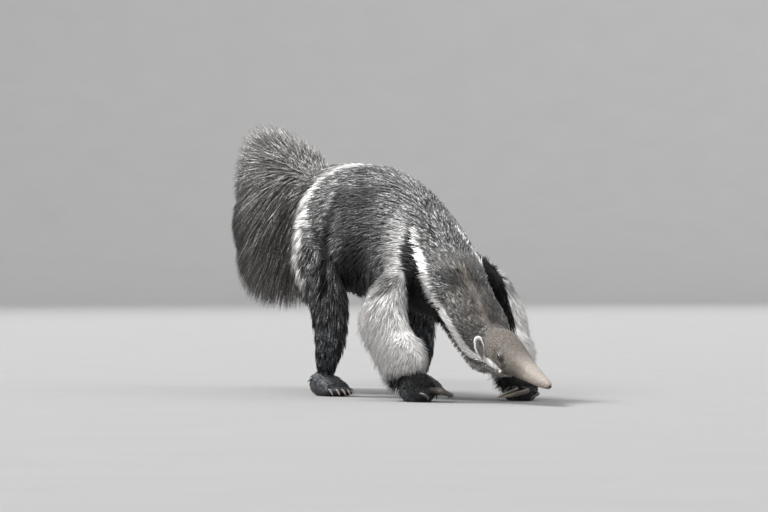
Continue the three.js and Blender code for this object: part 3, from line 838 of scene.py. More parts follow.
def coat_colour(finish, along, tone, fleck):
    """The hair's colour from its root to its tip, with the animal's markings."""
    black, white, cream = finish.kept("markings")
    wet, tail_share, face = finish.kept("zones")
    body = along.between(0.05, 0.45)
    band = along.between(0.30, 0.52) * (1 - 0.85 * along.between(0.66, 0.92))
    band = band * fleck * finish.noise(150.0, 1.0).between(0.36, 0.54)

    def hair(colours):
        return finish.mix(band, finish.mix(body, colours[0], colours[1]), colours[2])

    colour = hair(GRIZZLE)
    for share, colours in (
        (tail_share, TAIL_HAIR),
        (face, FACE_HAIR),
        (wet, WET_HAIR),
        (cream, CREAM_HAIR),
        (black, BLACK_HAIR),
        (white, WHITE_HAIR),
    ):
        colour = finish.mix(share, colour, hair(colours))
    light = finish.add("CombineColor", {}, {0: tone, 1: tone, 2: tone})
    return finish.mix(1.0, colour, light, blend="MULTIPLY")


hide = Finish("hide under short hair", Specular_IOR_Level=0.2, Sheen_Weight=0.05, Sheen_Roughness=0.5)
under_noise = hide.noise(340.0, 3.0, 0.6)
hair_grain = hide.noise(520.0, 2.0, 0.5, stretch=(1.0, 0.22, 1.0))
# The skin's tone carries painted shade and painted light as well as darker hair.
bare_share, skin_tone_and_light, _ = hide.kept("bare")
under = coat_colour(
    hide,
    along=hair_grain.between(0.25, 0.8) * 0.7 + 0.15,
    tone=(under_noise * 0.5 + 0.55) * skin_tone_and_light,
    fleck=hide.noise(900.0, 1.0).between(0.5, 0.7),
)
under = hide.mix(bare_share.between(0.1, 0.9), under, (0.018, 0.014, 0.013))
skin.data.materials.clear()
skin.data.materials.append(
    hide.wear(under, 0.62 - 0.22 * bare_share, hair_grain + under_noise * 0.5, depth=0.0012, strength=0.55)
)
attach(skin, "root")
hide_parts(*[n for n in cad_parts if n.split("_")[0] not in ("eye", "ear", "hindclaw", "foreclaw")])

# The eyes are small dark beads, brown and always wet. Each is a ball set deep between the lids, so that only
# a little of it shows.
eye_finish = Finish("wet brown eye", Coat_Weight=1.0, Coat_Roughness=0.06, Specular_IOR_Level=0.6)
iris_ring = eye_finish.noise(420.0, 3.0, 0.6)
eye_colour = eye_finish.mix(iris_ring.between(0.35, 0.7), (0.006, 0.004, 0.003), (0.045, 0.022, 0.010))
eye_finish.wear(eye_colour, 0.08, iris_ring, depth=0.0001, strength=0.1)
for centre, (side_name, _, _, _) in zip(eye_spots, SIDES):
    ball = bmesh.new()
    bmesh.ops.create_uvsphere(ball, u_segments=40, v_segments=24, radius=EYE_RADIUS)
    eye_mesh = bpy.data.meshes.new("eye_" + side_name)
    ball.to_mesh(eye_mesh)
    ball.free()
    eye_mesh.transform(Matrix.Translation(Vector(centre + SHIFT)))
    smooth(eye_mesh)
    eye_mesh.materials.append(eye_finish.material)
    eye = placed("eyeball_" + side_name, eye_mesh)
    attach(eye, "root")
    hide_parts("eye_" + side_name)

# The ears are thin upright cups, narrow at the base and round at the tip, set close behind the crown. They
# are rolled from one sheet of skin, grey inside and edged with white hair.
EAR_LENGTH = 0.067
EAR_WIDTH = 0.0235
EAR_DEPTH = 0.011
EAR_THICK = 0.0022
EAR_SHARE = 0.17
EAR_RISE = -0.5
EAR_SUNK = 0.008
EAR_RINGS = 15  # on each face of the cup
EAR_SEGMENTS = 44


def ear_frame(side):
    up = unit(np.array([side * 0.14, 0.27, 1.0]))
    front = np.array([side * 0.75, -1.0, 0.0])
    front = unit(front - up * (front @ up))
    root = head.at(EAR_SHARE, turn_of(side, EAR_RISE), 0.0) - EAR_SUNK * up
    return root, np.cross(up, front), up, front


def ear_shape(side):
    """The ear's corners and faces, how far each corner is from the middle, and 1 for those inside the cup."""
    root, across, up, front = ear_frame(side)
    spread = np.linspace(0, 1, EAR_RINGS)[1:] ** 0.8
    radius = np.concatenate([spread, [1.03, 1.03], spread[::-1]])
    within = np.repeat([1.0, 0.0], EAR_RINGS)
    turn = np.arange(EAR_SEGMENTS) * 2 * math.pi / EAR_SEGMENTS
    height = 0.5 - 0.5 * radius[:, None] * np.cos(turn)
    narrow = (1 - 0.5 * step(height, 0.7, 0.0)) * (1 + 0.45 * step(height, 0.75, 1.0))
    x = 0.5 * radius[:, None] * np.sin(turn) * narrow
    hollow = -(1 - np.minimum(radius, 1)[:, None] ** 2.4) * (0.55 + 0.45 * height)
    curl = 0.20 * step(np.abs(x), 0.34, 0.5) + 0.10 * np.sin(5 * height + side) * radius[:, None] ** 2
    thick = np.where(within[:, None] > 0, 0.0, EAR_THICK * (0.45 + 0.55 * step(radius[:, None], 1.03, 0.8)))
    z = (hollow + curl) * EAR_DEPTH - thick
    local = rows(x * EAR_WIDTH, height * EAR_LENGTH, z).reshape(-1, 3)
    middle_depth = -0.775 * EAR_DEPTH
    ends = [[0, EAR_LENGTH / 2, middle_depth], [0, EAR_LENGTH / 2, middle_depth - EAR_THICK]]
    corners = root + np.vstack([local, ends]) @ np.stack([across, up, front])
    faces = tube_faces(len(radius), EAR_SEGMENTS, outward=False)
    from_middle = np.append(np.repeat(np.minimum(radius, 1.0), EAR_SEGMENTS), [0, 0])
    return corners, faces, from_middle, np.append(np.repeat(within, EAR_SEGMENTS), [1, 0])


ear_finish = Finish("thin skin of the ear", Sheen_Weight=0.2)
rim, within_ear, _ = ear_finish.kept("ear")
ear_grain = ear_finish.noise(300.0, 3.0, 0.6)
ear_tint = ear_finish.mix(within_ear, grey(0.16, 0.08), grey(0.20, 0.10))
ear_tint = ear_finish.mix(rim.between(0.82, 0.98), ear_tint, grey(0.70, 0.05))
ear_tint = ear_finish.mix(ear_grain.between(0.3, 0.8) * 0.35, ear_tint, grey(0.05, 0.05))
ear_finish.wear(ear_tint, ear_grain * 0.2 + 0.5, ear_grain, depth=0.0006, strength=0.5)
ear_shapes = {}
for side_name, side, _, _ in SIDES:
    ear_shapes[side_name] = ear_shape(side)
    corners, faces, from_middle, within = ear_shapes[side_name]
    ear = mesh_object("ear_cup_" + side_name, corners, faces)
    ring, segment = np.divmod(loop_corners(ear.data), EAR_SEGMENTS)
    lay_out(ear.data, 0.05 + 0.9 * rows(segment / EAR_SEGMENTS, ring / (2 * EAR_RINGS)))
    paint(ear.data, "ear", rows(from_middle, within, 0))
    ear.data.materials.append(ear_finish.material)
    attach(ear, "root")
    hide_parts("ear_" + side_name)

# Claws are horn sheaths, grey-brown and worn pale at the tips. The forefoot folds its four claws inwards and
# walks on its knuckles: the second and third are the great digging claws. The hind foot has five short ones.
FORE_CLAWS = [
    {"digit": 1, "thick": 0.005, "inward": 0.036, "lead": 0.012, "high": 0.038, "length": 0.030},
    {"digit": 2, "thick": 0.008, "inward": 0.032, "lead": 0.042, "high": 0.032, "length": 0.066},
    {"digit": 3, "thick": 0.010, "inward": 0.014, "lead": 0.066, "high": 0.028, "length": 0.086},
    {"digit": 4, "thick": 0.005, "inward": -0.020, "lead": 0.074, "high": 0.020, "length": 0.026},
]


def fore_claw_route(claw, side, stride):
    def reach_to(middle, forward, height):
        x = side * (FORE_TRACK - claw["inward"] - middle)
        return [x, FORE_FOOT_Y + stride - claw["lead"] - forward, height]

    length, high = claw["length"], claw["high"]
    return [
        reach_to(0.0, -0.014, high + 0.004),
        reach_to(0.15 * length, 0.35 * length, high),
        reach_to(0.55 * length, 0.25 * length, 0.7 * high),
        reach_to(0.80 * length, -0.20 * length, claw["thick"]),
    ]


def hind_claw_route(side, stride, digit):
    x, y, z = toe_spot(side, stride, digit)
    return [[x, y, z], [x, y - 0.014, 0.0175], [x, y - 0.026, 0.012], [x, y - 0.034, 0.004]]


CLAW_TIP = 0.0006
HIND_CLAW_THICK = 0.005


def horn(name, route, thick, rings=26, sides=20):
    """A curved claw, oval in section, ridged above and flat below, ending in a worn point."""
    path = Bend(route)
    t = np.linspace(0, 1, rings)
    along = path.way(t)
    side = unit(np.cross(along, unit(path.at(0.6) - path.at(0.0)) + [0, 0, 0.6]))
    top = np.cross(side, along)
    turn = np.arange(sides) * 2 * math.pi / sides
    size = thick * (1 - t ** 2.2) ** 0.8 * (0.94 + 0.06 * np.cos(9 * t)) + CLAW_TIP
    height = np.where(np.sin(turn) > 0, 1.0, 0.72) * np.sin(turn)
    ring = side[:, None] * (np.cos(turn) * 0.82)[None, :, None] + top[:, None] * height[None, :, None]
    corners = (path.at(t)[:, None] + ring * size[:, None, None]).reshape(-1, 3)
    corners = np.vstack([corners, path.at(0.0), path.at(1.0) + along[-1] * 0.001])
    corners[:, 2] = np.maximum(corners[:, 2], FLOOR_CLEARANCE)
    claw = mesh_object(name, corners, tube_faces(rings, sides, outward=False))
    paint(claw.data, "claw", rows(np.append(np.repeat(t, sides), [0, 1]), 0, 0))
    return claw


claw_finish = Finish("claw horn", Coat_Roughness=0.25)
claw_share = claw_finish.kept("claw")[0]
claw_lines = claw_finish.noise(160.0, 4.0, 0.6, stretch=(1.0, 0.25, 2.0))
claw_tint = claw_finish.mix(claw_share.between(0.2, 0.9), grey(0.045, 0.12), grey(0.26, 0.16))
claw_tint = claw_finish.mix(claw_lines.between(0.35, 0.7) * 0.6, claw_tint, grey(0.020, 0.10))
claw_finish.wear(claw_tint, claw_lines * 0.25 + 0.25, claw_lines, depth=0.0008, strength=0.45)
for side_name, side, fore_stride, hind_stride in SIDES:
    claws = []
    for claw in FORE_CLAWS:
        node = f"foreclaw_{side_name}_{claw['digit']}"
        claws.append((node, fore_claw_route(claw, side, fore_stride), claw["thick"]))
    for digit in range(1, TOES + 1):
        route = hind_claw_route(side, hind_stride, digit)
        claws.append((f"hindclaw_{side_name}_{digit}", route, HIND_CLAW_THICK))
    for node, route, thick in claws:
        piece = horn(node.replace("claw", "_claw"), route, thick)
        piece.data.materials.append(claw_finish.material)
        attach(piece, "root")
        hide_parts(node)

# The coat is coarse, straw-like hair in thousands of flat tapering tufts, each rooted in the skin. It lies to
# the rear on the trunk, down on the legs and back from the snout, and it is short only on the face and feet.
skin_corners = corners_of(skin.data)
skin_tree = BVHTree.FromPolygons(skin_corners.tolist(), [list(p.vertices) for p in skin.data.polygons])


class Roots:
    """Where a batch of tufts grows: place, normal, share along the limb, angle round it, spot on its chart."""

    def __init__(self, name, place, normal, u, angle, chart):
        self.name = name
        self.place, self.normal = place, normal
        self.u, self.angle, self.chart = u, angle, chart
        self.x, self.y, _ = place.T


def roots_on(name, count, shares=(0.0, 1.0), turns=(-math.pi, math.pi), crowd=None, away=0.020):
    """Roots spread evenly over one limb, or as thickly as crowd says, which gives 0 to 1 for each place."""
    limb = limb_named[name]
    kept = []
    while len(kept) < count:
        u = rng.uniform(*shares, 2 * count)
        angle = rng.uniform(*turns, 2 * count)
        place = limb.at(u, angle)
        along = limb.at(u + 0.004, angle) - limb.at(u - 0.004, angle)
        around = limb.at(u, angle + 0.01) - limb.at(u, angle - 0.01)
        area = np.linalg.norm(np.cross(along, around), axis=1)
        chance = area / np.percentile(area, 98)
        if crowd is not None:
            chance = chance * crowd(place, angle)
        for i in np.flatnonzero(rng.random(len(u)) < chance):
            spot, normal, _, distance = skin_tree.find_nearest(place[i])
            if distance < away:
                kept.append((*spot, *normal, u[i], angle[i]))
    kept = np.array(kept[:count])
    chart = unwrapped(name, kept[:, 6], kept[:, 7])
    return Roots(name, kept[:, :3], kept[:, 3:6], kept[:, 6], kept[:, 7], chart)


SECTION = np.array([[-0.5, -0.10], [0.5, -0.10], [0.0, 0.22]])  # of a tuft: across it, and off the skin
TUFT_ROLL = 0.5
TUFT_SPREAD = 0.10
MARKS_BLUR = 0.0015  # how far from its own place a tuft may take its markings
TUFT_SUNK = 0.0015
MOST_PULL = 0.45
HAIR_CLEARANCE = 0.0015
PATCH_HALF = 0.0015


def column(value, count):
    return np.broadcast_to(np.asarray(value, float), (count,)).copy()


def tufts(roots, way, length, width, lift=0.1, hug=0.1, droop=0.0, rings=2, clump=0.0, per_clump=9, wild=0.1,
          free=False, tone=1.0, fleck=0.4, tone_spread=0.2, inside=None, ragged=0.15, band_spread=0.08):
    """The corners of one batch of tufts, with what their finish needs to know."""
    normal = roots.normal
    n = len(normal)
    length = column(length, n) * np.clip(rng.normal(0.97, TUFT_SPREAD, n), 0.6, 1.08)
    length *= 1 - ragged * rng.random(n) ** 1.5
    width = column(width, n) * rng.uniform(0.7, 1.3, n)
    lift = column(lift, n) * rng.uniform(0.4, 1.6, n)
    way = unit(np.broadcast_to(way, (n, 3))) + wild * rng.normal(0, 1, (n, 3))
    off = np.sum(way * normal, axis=1)
    off = np.minimum(off, 0) if free else off
    start = unit(unit(way - normal * off[:, None]) + normal * lift[:, None])
    bend = -normal * column(hug, n)[:, None] - UP * column(droop, n)[:, None]
    if clump:
        leaders = rng.choice(n, max(1, n // per_clump), replace=False)
        tree = search_tree(roots.place[leaders])
        follow = leaders[[tree.find(place)[1] for place in roots.place]]
        tips = roots.place + length[:, None] * (start + bend)
        pull = (tips[follow] - tips) * (clump * rng.uniform(0.6, 1.2, n) / length)[:, None]
        pull_size = np.maximum(np.linalg.norm(pull, axis=1), 1e-6)
        bend = bend + pull * np.minimum(1, MOST_PULL / pull_size)[:, None]
    if inside is not None:
        limit = np.minimum(rng.normal(1.045, 0.03, n), 1.08)
        for _ in range(24):
            outside = inside(roots.place + length[:, None] * (start + bend)) > limit
            length = np.where(outside & (length > 0.03), length * 0.95, length)
    t = np.linspace(0, 1, rings + 1)[:-1] * (0.9 if rings == 2 else 1)
    side = unit(np.cross(start, normal))
    turn = rng.normal(0, TUFT_ROLL, n)[:, None]
    top = np.cross(side, start)
    side, top = side * np.cos(turn) + top * np.sin(turn), top * np.cos(turn) - side * np.sin(turn)
    base = roots.place - normal * np.minimum(TUFT_SUNK, 0.05 * length)[:, None]
    path = start[:, None] * t[:, None] + bend[:, None] * t[:, None] ** 2
    path = base[:, None] + length[:, None, None] * path
    slim = (0.55 + 1.5 * t) * (1 - t) ** 0.7 * 1.15
    across = side[:, None, None] * SECTION[:, :1] + top[:, None, None] * SECTION[:, 1:]
    wall = path[:, :, None] + across * (width[:, None] * slim)[:, :, None, None]
    tip = base + length[:, None] * (start + bend)
    corners = np.concatenate([wall.reshape(n, -1, 3), tip[:, None]], axis=1)
    corners[..., 2] = np.maximum(corners[..., 2], HAIR_CLEARANCE)
    per = corners.shape[1]
    along = np.append(np.repeat(t, 3), 1.0)
    seen = base + length[:, None] * (start * 0.55 + bend * 0.3) + rng.normal(0, MARKS_BLUR, (n, 3))
    names = np.full(n, roots.name)
    colour, zone = markings(seen, names)
    # The hair's tone holds painted shade in the hollows and the haunch's fold and painted light under the
    # throat, besides darker hair.
    kept_tone_and_light = tone_and_painted_light(seen, names)
    strand = np.zeros((n, per, 3))
    strand[..., 0] = along + rng.uniform(-band_spread, band_spread, n)[:, None]
    strand[..., 1] = (tone * kept_tone_and_light * rng.uniform(1 - tone_spread, 1 + tone_spread, n))[:, None]
    flecked = rng.random(n) < fleck * np.minimum(kept_tone_and_light, 1)
    strand[..., 2] = np.where(flecked, rng.uniform(0.55, 1.0, n), rng.uniform(0.0, 0.25, n))[:, None]
    patch = rows(np.append(np.tile([-1.0, 1.0, 0.0], rings), 0.0), 2 * along - 1) * PATCH_HALF
    return {
        "corners": corners,
        "strand": strand,
        "markings": np.repeat(colour[:, None], per, 1),
        "zones": np.repeat(zone[:, None], per, 1),
        "uv": roots.chart[:, None] + patch,
        "rings": rings,
    }


def tuft_faces(rings):
    """The triangles of one closed tuft: a cap, the walls and the point."""
    faces = [[0, 2, 1]]
    for low in range(0, 3 * (rings - 1), 3):
        for k in range(3):
            j = (k + 1) % 3
            faces += [[low + k, low + j, low + 3 + j], [low + k, low + 3 + j, low + 3 + k]]
    last = 3 * (rings - 1)
    faces += [[last + k, last + (k + 1) % 3, 3 * rings] for k in range(3)]
    return np.array(faces)


coat_finish = Finish(
    "coarse straw-like hair", Specular_IOR_Level=0.16, Sheen_Weight=0.04, Sheen_Roughness=0.4
)
hair_along, hair_tone, hair_fleck = coat_finish.kept("strand")
wet_hair = coat_finish.kept("zones")[0]
hair_split = coat_finish.noise(1400.0, 2.0, 0.5)
coat_finish.wear(
    coat_colour(coat_finish, hair_along, hair_tone * (hair_split * 0.3 + 0.85), hair_fleck),
    0.58 - 0.26 * wet_hair + 0.1 * hair_split,
    hair_split,
    depth=0.0004,
    strength=0.3,
)


def coat_piece(name, batches):
    """Joins batches of tufts into one mesh piece."""
    joined = {}
    for key in ("corners", "strand", "markings", "zones", "uv"):
        joined[key] = np.vstack([batch[key].reshape(-1, batch[key].shape[2]) for batch in batches])
    triangles = []
    base = 0
    for batch in batches:
        n, per, _ = batch["corners"].shape
        first = base + per * np.arange(n)
        triangles.append((first[:, None, None] + tuft_faces(batch["rings"])).reshape(-1, 3))
        base += n * per
    triangles = np.vstack(triangles)
    mesh = bpy.data.meshes.new(name)
    mesh.vertices.add(base)
    mesh.vertices.foreach_set("co", (joined["corners"] + SHIFT).astype(np.float32).ravel())
    mesh.loops.add(triangles.size)
    mesh.loops.foreach_set("vertex_index", triangles.astype(np.int32).ravel())
    mesh.polygons.add(len(triangles))
    mesh.polygons.foreach_set("loop_start", np.arange(0, triangles.size, 3, dtype=np.int32))
    smooth(mesh)
    mesh.update(calc_edges=True)
    for key in ("strand", "markings", "zones"):
        paint(mesh, key, joined[key])
    lay_out(mesh, joined["uv"][triangles.ravel()])
    mesh.materials.append(coat_finish.material)
    piece = placed(name, mesh)
    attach(piece, "root")


# Over the ribs, flanks and belly the hair is up to a hand's breadth long and lies flat to the rear, grizzled
# grey, and it darkens in the hollow in front of the thigh, with darker hair and painted shade.
TRUNK_PIECES = 3
TRUNK_TUFTS = 11800


def trunk_lie(roots):
    fall = 0.16 + 0.7 * step(-roots.normal[:, 2], -0.1, 0.7) + 1.5 * step(roots.y, 0.68, 0.86)
    return rows(0.12 * roots.normal[:, 0], 1.0, -fall)


for number in range(1, TRUNK_PIECES + 1):
    roots = roots_on("torso", TRUNK_TUFTS, shares=(0.01, 0.99))
    low = step(-roots.normal[:, 2], 0.0, 0.8)
    length = 0.046 + 0.022 * step(roots.y, 0.1, 0.5) + 0.02 * low
    tone = 1 + 0.12 * patches(roots.place, 0.16)
    hair = tufts(roots, trunk_lie(roots), length, 0.0040, lift=0.22 + 0.1 * low, hug=0.10, droop=0.06,
                 clump=0.25, per_clump=6, tone=tone, fleck=0.55)
    coat_piece(f"trunk_coat_{number}", [hair])

# The crest runs from the shoulders to the root of the tail, longer towards the rump. Long hair also hangs
# from the lower flank and the haunches, as a fringe that hides where the legs leave the body.
TOP = math.pi / 2
roots = roots_on("torso", 2200, shares=(0.02, 0.86), turns=(TOP - 0.5, TOP + 0.5),
                 crowd=lambda p, angle: hump(angle, TOP, 0.28))
crest = tufts(roots, rows(roots.x * 4, 1.0, 0.0), 0.170 - 0.055 * roots.u, 0.0052, lift=0.12, hug=0.03,
              droop=0.08 + 0.25 * roots.u, rings=4, clump=0.45, per_clump=12, tone=0.9, fleck=0.45)
long_hair = [crest]
for _, side, _, _ in SIDES:
    level = turn_of(side, -0.75)
    roots = roots_on("torso", 800, shares=(0.26, 0.70), turns=(level - 0.35, level + 0.35))
    fringe = tufts(roots, (0, 0.5, -1), 0.100, 0.0050, lift=0.28, rings=4, clump=0.5, per_clump=10, tone=0.8,
                   fleck=0.3)
    level = turn_of(side, 0.0)
    roots = roots_on("torso", 1500, shares=(0.02, 0.24), turns=(level - 0.95, level + 0.75),
                     crowd=lambda p, angle: step(slanted(p)[0], -0.375, -0.40))
    haunch = tufts(roots, (0, 0.5, -1), 0.105, 0.0042, lift=0.16, droop=0.10, rings=3, clump=0.3, per_clump=8,
                   fleck=0.5)
    long_hair += [fringe, haunch]
coat_piece("crest_and_fringe", long_hair)

# The neck's hair is shorter, and lies back and up towards the shoulders, with a low mane along its ridge.
# Under the throat and jaw it is shorter still and points down to the rear.
neck_roots = roots_on("neck", 10000, shares=(0.04, 0.99))
neck_back = -neck.spine.way(neck_roots.u)
throat_hair = []
# The hair under the throat and jaw has a high tone: painted light, as if reflected up from below.
for name, shares, length in (("neck", (0.40, 0.97), 0.026), ("head", (0.10, 0.36), 0.015)):
    roots = roots_on(name, 1100, shares=shares, turns=(-TOP - 0.75, -TOP + 0.75))
    hair = tufts(roots, (0, 1, -0.6), length, 0.0028, lift=0.26, rings=3, clump=0.12, per_clump=7, free=True,
                 tone=2.0, fleck=0.1)
    throat_hair.append(hair)
neck_hair = tufts(neck_roots, neck_back + rows(0, 0, -0.25 * step(-neck_roots.normal[:, 2], -0.3, 0.4)),
                  0.046 - 0.030 * step(neck_roots.u, 0.2, 1.0), 0.0036 - 0.0012 * neck_roots.u,
                  lift=0.20 - 0.04 * neck_roots.u, hug=0.08, clump=0.25, per_clump=6,
                  tone=0.92 + 0.15 * patches(neck_roots.place, 0.06), fleck=0.5 - 0.1 * neck_roots.u)
roots = roots_on("neck", 900, shares=(0.20, 0.86), turns=(TOP - 0.7, TOP + 0.7),
                 crowd=lambda p, angle: hump(angle, TOP, 0.35))
mane = tufts(roots, -neck.spine.way(roots.u), 0.080 - 0.04 * roots.u, 0.0042, lift=0.14, droop=0.14, rings=3,
             clump=0.4, per_clump=10, tone=0.85, fleck=0.4)
coat_piece("neck_coat", [neck_hair, mane] + throat_hair)

# On the head the hair is short, fine and flat. It grows from the whole face but the nose and the lids, and
# runs back from the snout.
roots = roots_on("head", 12000, shares=(0.02, 0.945), away=0.012)
clear = np.ones(len(roots.u))
for spot in eye_spots:
    clear = np.minimum(clear, step(np.linalg.norm(roots.place - spot, axis=1), 0.0115, 0.015))
length = (0.015 - 0.009 * step(roots.u, 0.1, 0.7)) * (0.35 + 0.65 * clear)
width = (0.0022 - 0.0008 * roots.u) * np.maximum(clear, 0.3)
face_hair = tufts(roots, -head.spine.way(roots.u), length, width, lift=0.22 - 0.06 * roots.u, hug=0.10,
                  clump=0.12, per_clump=5, wild=0.12, tone=1 + 0.12 * patches(roots.place, 0.03), fleck=0.5,
                  tone_spread=0.18)
coat_piece("face_coat", [face_hair])

# The tail is a plume: the longest hair of all rises from the top of a flat core and hangs from its sides and
# under edge. Each tuft is as long as the plume's outline lets it be.
TAIL_PIECES = 2
TAIL_TUFTS = 10300
PLUME_MIDDLE = (-0.470, 0.500)
PLUME_OUTLINE = [
    (-0.359, 0.655), (-0.392, 0.702), (-0.442, 0.734), (-0.497, 0.766), (-0.550, 0.788), (-0.597, 0.782),
    (-0.637, 0.750), (-0.651, 0.693), (-0.653, 0.556), (-0.651, 0.418), (-0.645, 0.336), (-0.622, 0.282),
    (-0.570, 0.252), (-0.497, 0.244), (-0.442, 0.254), (-0.392, 0.277),
]
outline = np.array(PLUME_OUTLINE) - PLUME_MIDDLE
outline_turns = np.arctan2(outline[:, 1], outline[:, 0])


def within_plume(tips):
    """How far out each place lies, 1 on the plume's outline, on a plane slanted as the markings' is."""
    spot = rows(tips[:, 0] * math.cos(SLANT) - tips[:, 1] * math.sin(SLANT), tips[:, 2]) - PLUME_MIDDLE
    turns = np.arctan2(spot[:, 1], spot[:, 0])
    limit = np.interp(turns, outline_turns, np.linalg.norm(outline, axis=1), period=2 * math.pi)
    return np.linalg.norm(spot, axis=1) / limit


def tail_lie(roots):
    """Hair leans to the rear at the end of the tail, stands up along its top and hangs below."""
    lean = 0.12 + 0.75 * (1 - roots.u) ** 2
    top = np.arctan2(1 - 0.5 * lean, 0.75 + lean)
    low = np.arctan2(-1.0, lean)
    turn = low + (top - low) * step(np.sin(roots.angle), 0.40, 0.92)
    return rows(0.15 * np.cos(roots.angle), np.cos(turn), np.sin(turn))


for number in range(1, TAIL_PIECES + 1):
    roots = roots_on("tail", TAIL_TUFTS, shares=(0.01, 0.90), away=0.03)
    rise = np.sin(roots.angle)
    upper = step(rise, 0.40, 0.92)
    lower = step(-rise, 0.5, 0.95)
    length = 0.255 + upper * (0.01 - 0.080 * roots.u) + 0.02 * lower - 0.03 * (1 - upper) * step(rise, 0, 0.5)
    length *= 0.30 + 0.70 * step(roots.y, 0.86, 1.03)
    tone = 1 + 0.12 * patches(roots.place, 0.12)
    hair = tufts(roots, tail_lie(roots), length, 0.0037, lift=0.18, hug=0.0, droop=0.10, rings=3, clump=0.30,
                 per_clump=7, wild=0.135, free=True, tone=tone, fleck=0.75, tone_spread=0.3,
                 inside=within_plume, ragged=0.65, band_spread=0.30)
    coat_piece(f"tail_plume_{number}", [hair])

# The forelegs wear long pale hair that fluffs out over the wrist, and the hind legs dark hair that hangs in
# wet pointed locks. On the feet it is short and close.
for side_name, _, _, _ in SIDES:
    roots = roots_on("foreleg_" + side_name, 9000, shares=(0.06, 0.95), away=0.03)
    rear = step(-np.sin(roots.angle), -0.3, 0.8)
    upper = step(roots.u, 0.48, 0.22)
    length = (0.062 + 0.030 * rear) * (1 - 0.35 * step(roots.u, 0.6, 1.0)) * (1 - 0.45 * upper)
    hair = tufts(roots, rows(0, 0.25 + 0.75 * upper, -1 + 0.45 * upper), length, 0.0033,
                 lift=0.26 - 0.16 * upper, hug=0.06, droop=0.05, clump=0.25, per_clump=8, wild=0.12,
                 fleck=0.5)
    coat_piece("foreleg_coat_" + side_name, [hair])
    roots = roots_on("hindleg_" + side_name, 4700, shares=(0.12, 0.97))
    rear = step(-np.sin(roots.angle), -0.3, 0.8)
    length = 0.082 * (1 - 0.5 * step(roots.u, 0.6, 1.0)) * (1 - 0.2 * rear)
    hair = tufts(roots, (0, 0.25, -1), length, 0.0040, lift=0.14, hug=0.06, droop=0.06, rings=3, clump=0.60,
                 per_clump=12, fleck=0.45, tone_spread=0.3)
    coat_piece("hindleg_coat_" + side_name, [hair])
    paw_hair = []
    for limb_name in ("hindfoot_" + side_name, "forefoot_" + side_name):
        roots = roots_on(limb_name, 1250, shares=(0.03, 0.93), away=0.012)
        lie = rows(0.4 * roots.normal[:, 0], -0.8, -0.5)
        paw_hair.append(tufts(roots, lie, 0.014, 0.0022, lift=0.18, hug=0.08, fleck=0.2))
    coat_piece("paw_coat_" + side_name, paw_hair)

# White hair edges each ear and thins out into its cup. It is the finest of all, rooted along the rim and
# pointing outwards and up.
EAR_TUFTS = 1700
ear_hair = []
for side_name, side, _, _ in SIDES:
    corners, faces, from_middle, within = ear_shapes[side_name]
    ear_root, _, ear_up, _ = ear_frame(side)
    ear_tree = BVHTree.FromPolygons(corners.tolist(), faces)
    high = (corners - ear_root) @ ear_up / EAR_LENGTH
    wanted = np.where(within > 0, 0.15, 0.5) + 1.6 * step(from_middle, 0.85, 1.0)
    wanted *= step(high, 0.10, 0.2)
    chosen = rng.choice(len(corners), EAR_TUFTS, p=wanted / wanted.sum())
    found = [ear_tree.find_nearest(spot) for spot in corners[chosen] + rng.normal(0, 0.0008, (EAR_TUFTS, 3))]
    place = np.array([f[0] for f in found])
    normal = np.array([f[1] for f in found])
    outward = corners[chosen] - (ear_root + ear_up * EAR_LENGTH * 0.45)
    chart = rows(0.9 + 0.02 * side, 0.5 + 0.3 * high[chosen]) + rng.uniform(-0.02, 0.02, (EAR_TUFTS, 2))
    roots = Roots("head", place, normal, high[chosen], 0.0, chart)
    lie = 0.5 * ear_up + unit(outward) * step(from_middle[chosen], 0.5, 1.0)[:, None]
    hair = tufts(roots, lie, 0.006, 0.0011, lift=0.15, hug=0.02, wild=0.15, free=True)
    white_rim = step(from_middle[chosen], 0.80, 0.97)
    hair["markings"] = np.repeat(rows(0, white_rim, 0)[:, None], hair["corners"].shape[1], 1)
    ear_hair.append(hair)
coat_piece("ear_fringe", ear_hair)

# The model stands on a pale studio floor, a seamless sheet that is flat under it and curves up far away on
# every side, as a wall behind it.
FLOOR_RADIUS = 26.0
FLOOR_RISE = 9.0
FLOOR_SIDES = 72
floor_bend = np.linspace(0, math.pi / 2, 14)
floor_profile = [(r, 0.0) for r in (0.5, 1, 2, 4, 8, 14, 20)]
for a in floor_bend:
    floor_profile.append((FLOOR_RADIUS + FLOOR_RISE * math.sin(a), FLOOR_RISE * (1 - math.cos(a))))
floor_profile.append((FLOOR_RADIUS + FLOOR_RISE, 2 * FLOOR_RISE))
floor_corners = [(0.0, 0.0, 0.0)]
for radius, height in floor_profile:
    for k in range(FLOOR_SIDES):
        angle = 2 * math.pi * k / FLOOR_SIDES
        floor_corners.append((radius * math.cos(angle), radius * math.sin(angle), height))
floor_faces = [[0, 1 + k, 1 + (k + 1) % FLOOR_SIDES] for k in range(FLOOR_SIDES)]
for ring in range(len(floor_profile) - 1):
    for k in range(FLOOR_SIDES):
        low = 1 + ring * FLOOR_SIDES + k
        next_low = 1 + ring * FLOOR_SIDES + (k + 1) % FLOOR_SIDES
        floor_faces.append([low, low + FLOOR_SIDES, next_low + FLOOR_SIDES, next_low])
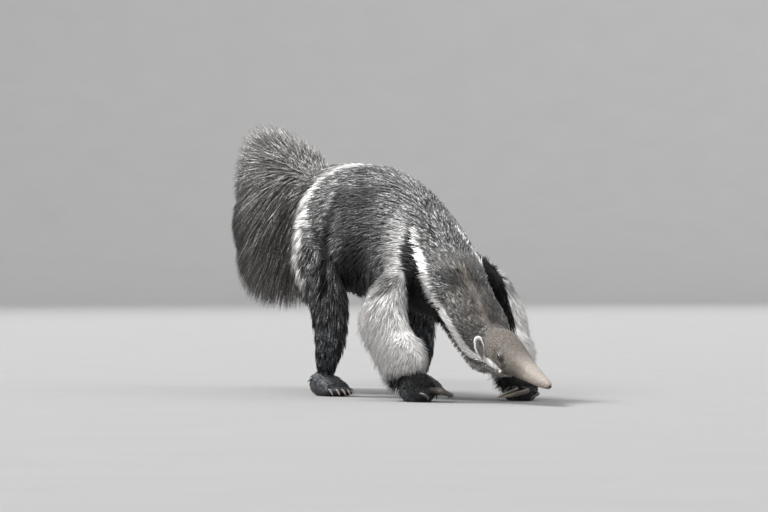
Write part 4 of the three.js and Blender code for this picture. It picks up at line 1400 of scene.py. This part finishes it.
floor = mesh_object("studio_floor", np.array(floor_corners) - SHIFT, floor_faces)
floor_finish = Finish("pale studio floor")
floor_grain = floor_finish.noise(3.0, 3.0, 0.5)
floor_tint = floor_finish.mix(floor_grain, grey(0.220, 0.015), grey(0.240, 0.015))
floor.data.materials.append(floor_finish.wear(floor_tint, 0.85))

# The camera stands low in front of the animal's right side, far off, as through a long lens. Light comes from
# high behind, which edges the back and rump, and a broad light comes from the front.
VIEW_TURN = math.radians(27)
VIEW_DISTANCE = 12.0
VIEW_HEIGHT = 0.40
VIEW_SIDE = 0.077
LENS = 204.5
RIGHT = np.array([math.cos(VIEW_TURN), -math.sin(VIEW_TURN), 0.0])
FORWARD = np.array([math.sin(VIEW_TURN), math.cos(VIEW_TURN), 0.0])
aim = np.array([-0.150, 0.0, VIEW_HEIGHT]) - VIEW_SIDE * RIGHT + SHIFT
camera_data = bpy.data.cameras.new("camera")
camera_data.lens = LENS
camera_data.sensor_width = 36.0
camera = placed("camera", camera_data)
camera.location = Vector(aim - VIEW_DISTANCE * FORWARD)
camera.rotation_euler = (math.pi / 2, 0, -VIEW_TURN)
bpy.context.scene.camera = camera

for name, ahead, aside, high, softness, power in (
    ("light from behind", 2.2, -2.6, 3.4, 14.0, 4.2),
    ("light from above", 0.2, -0.5, 4.0, 40.0, 1.1),
    ("light from the front", -4.0, -3.0, 1.9, 40.0, 5.6),
    ("light from the far side", -1.0, 4.0, 2.6, 60.0, 1.0),
):
    lamp_data = bpy.data.lights.new(name, "SUN")
    lamp_data.angle = math.radians(softness)
    lamp_data.energy = power
    lamp = placed(name, lamp_data)
    lamp.location = Vector(ahead * FORWARD + aside * RIGHT + high * UP)
    lamp.rotation_euler = lamp.location.to_track_quat("Z", "Y").to_euler()
world = bpy.data.worlds.new("pale studio")
world.use_nodes = True
world.node_tree.nodes["Background"].inputs["Color"].default_value = (0.93, 0.95, 1.0, 1)
world.node_tree.nodes["Background"].inputs["Strength"].default_value = 0.82
bpy.context.scene.world = world
bpy.context.scene.view_settings.view_transform = "Standard"
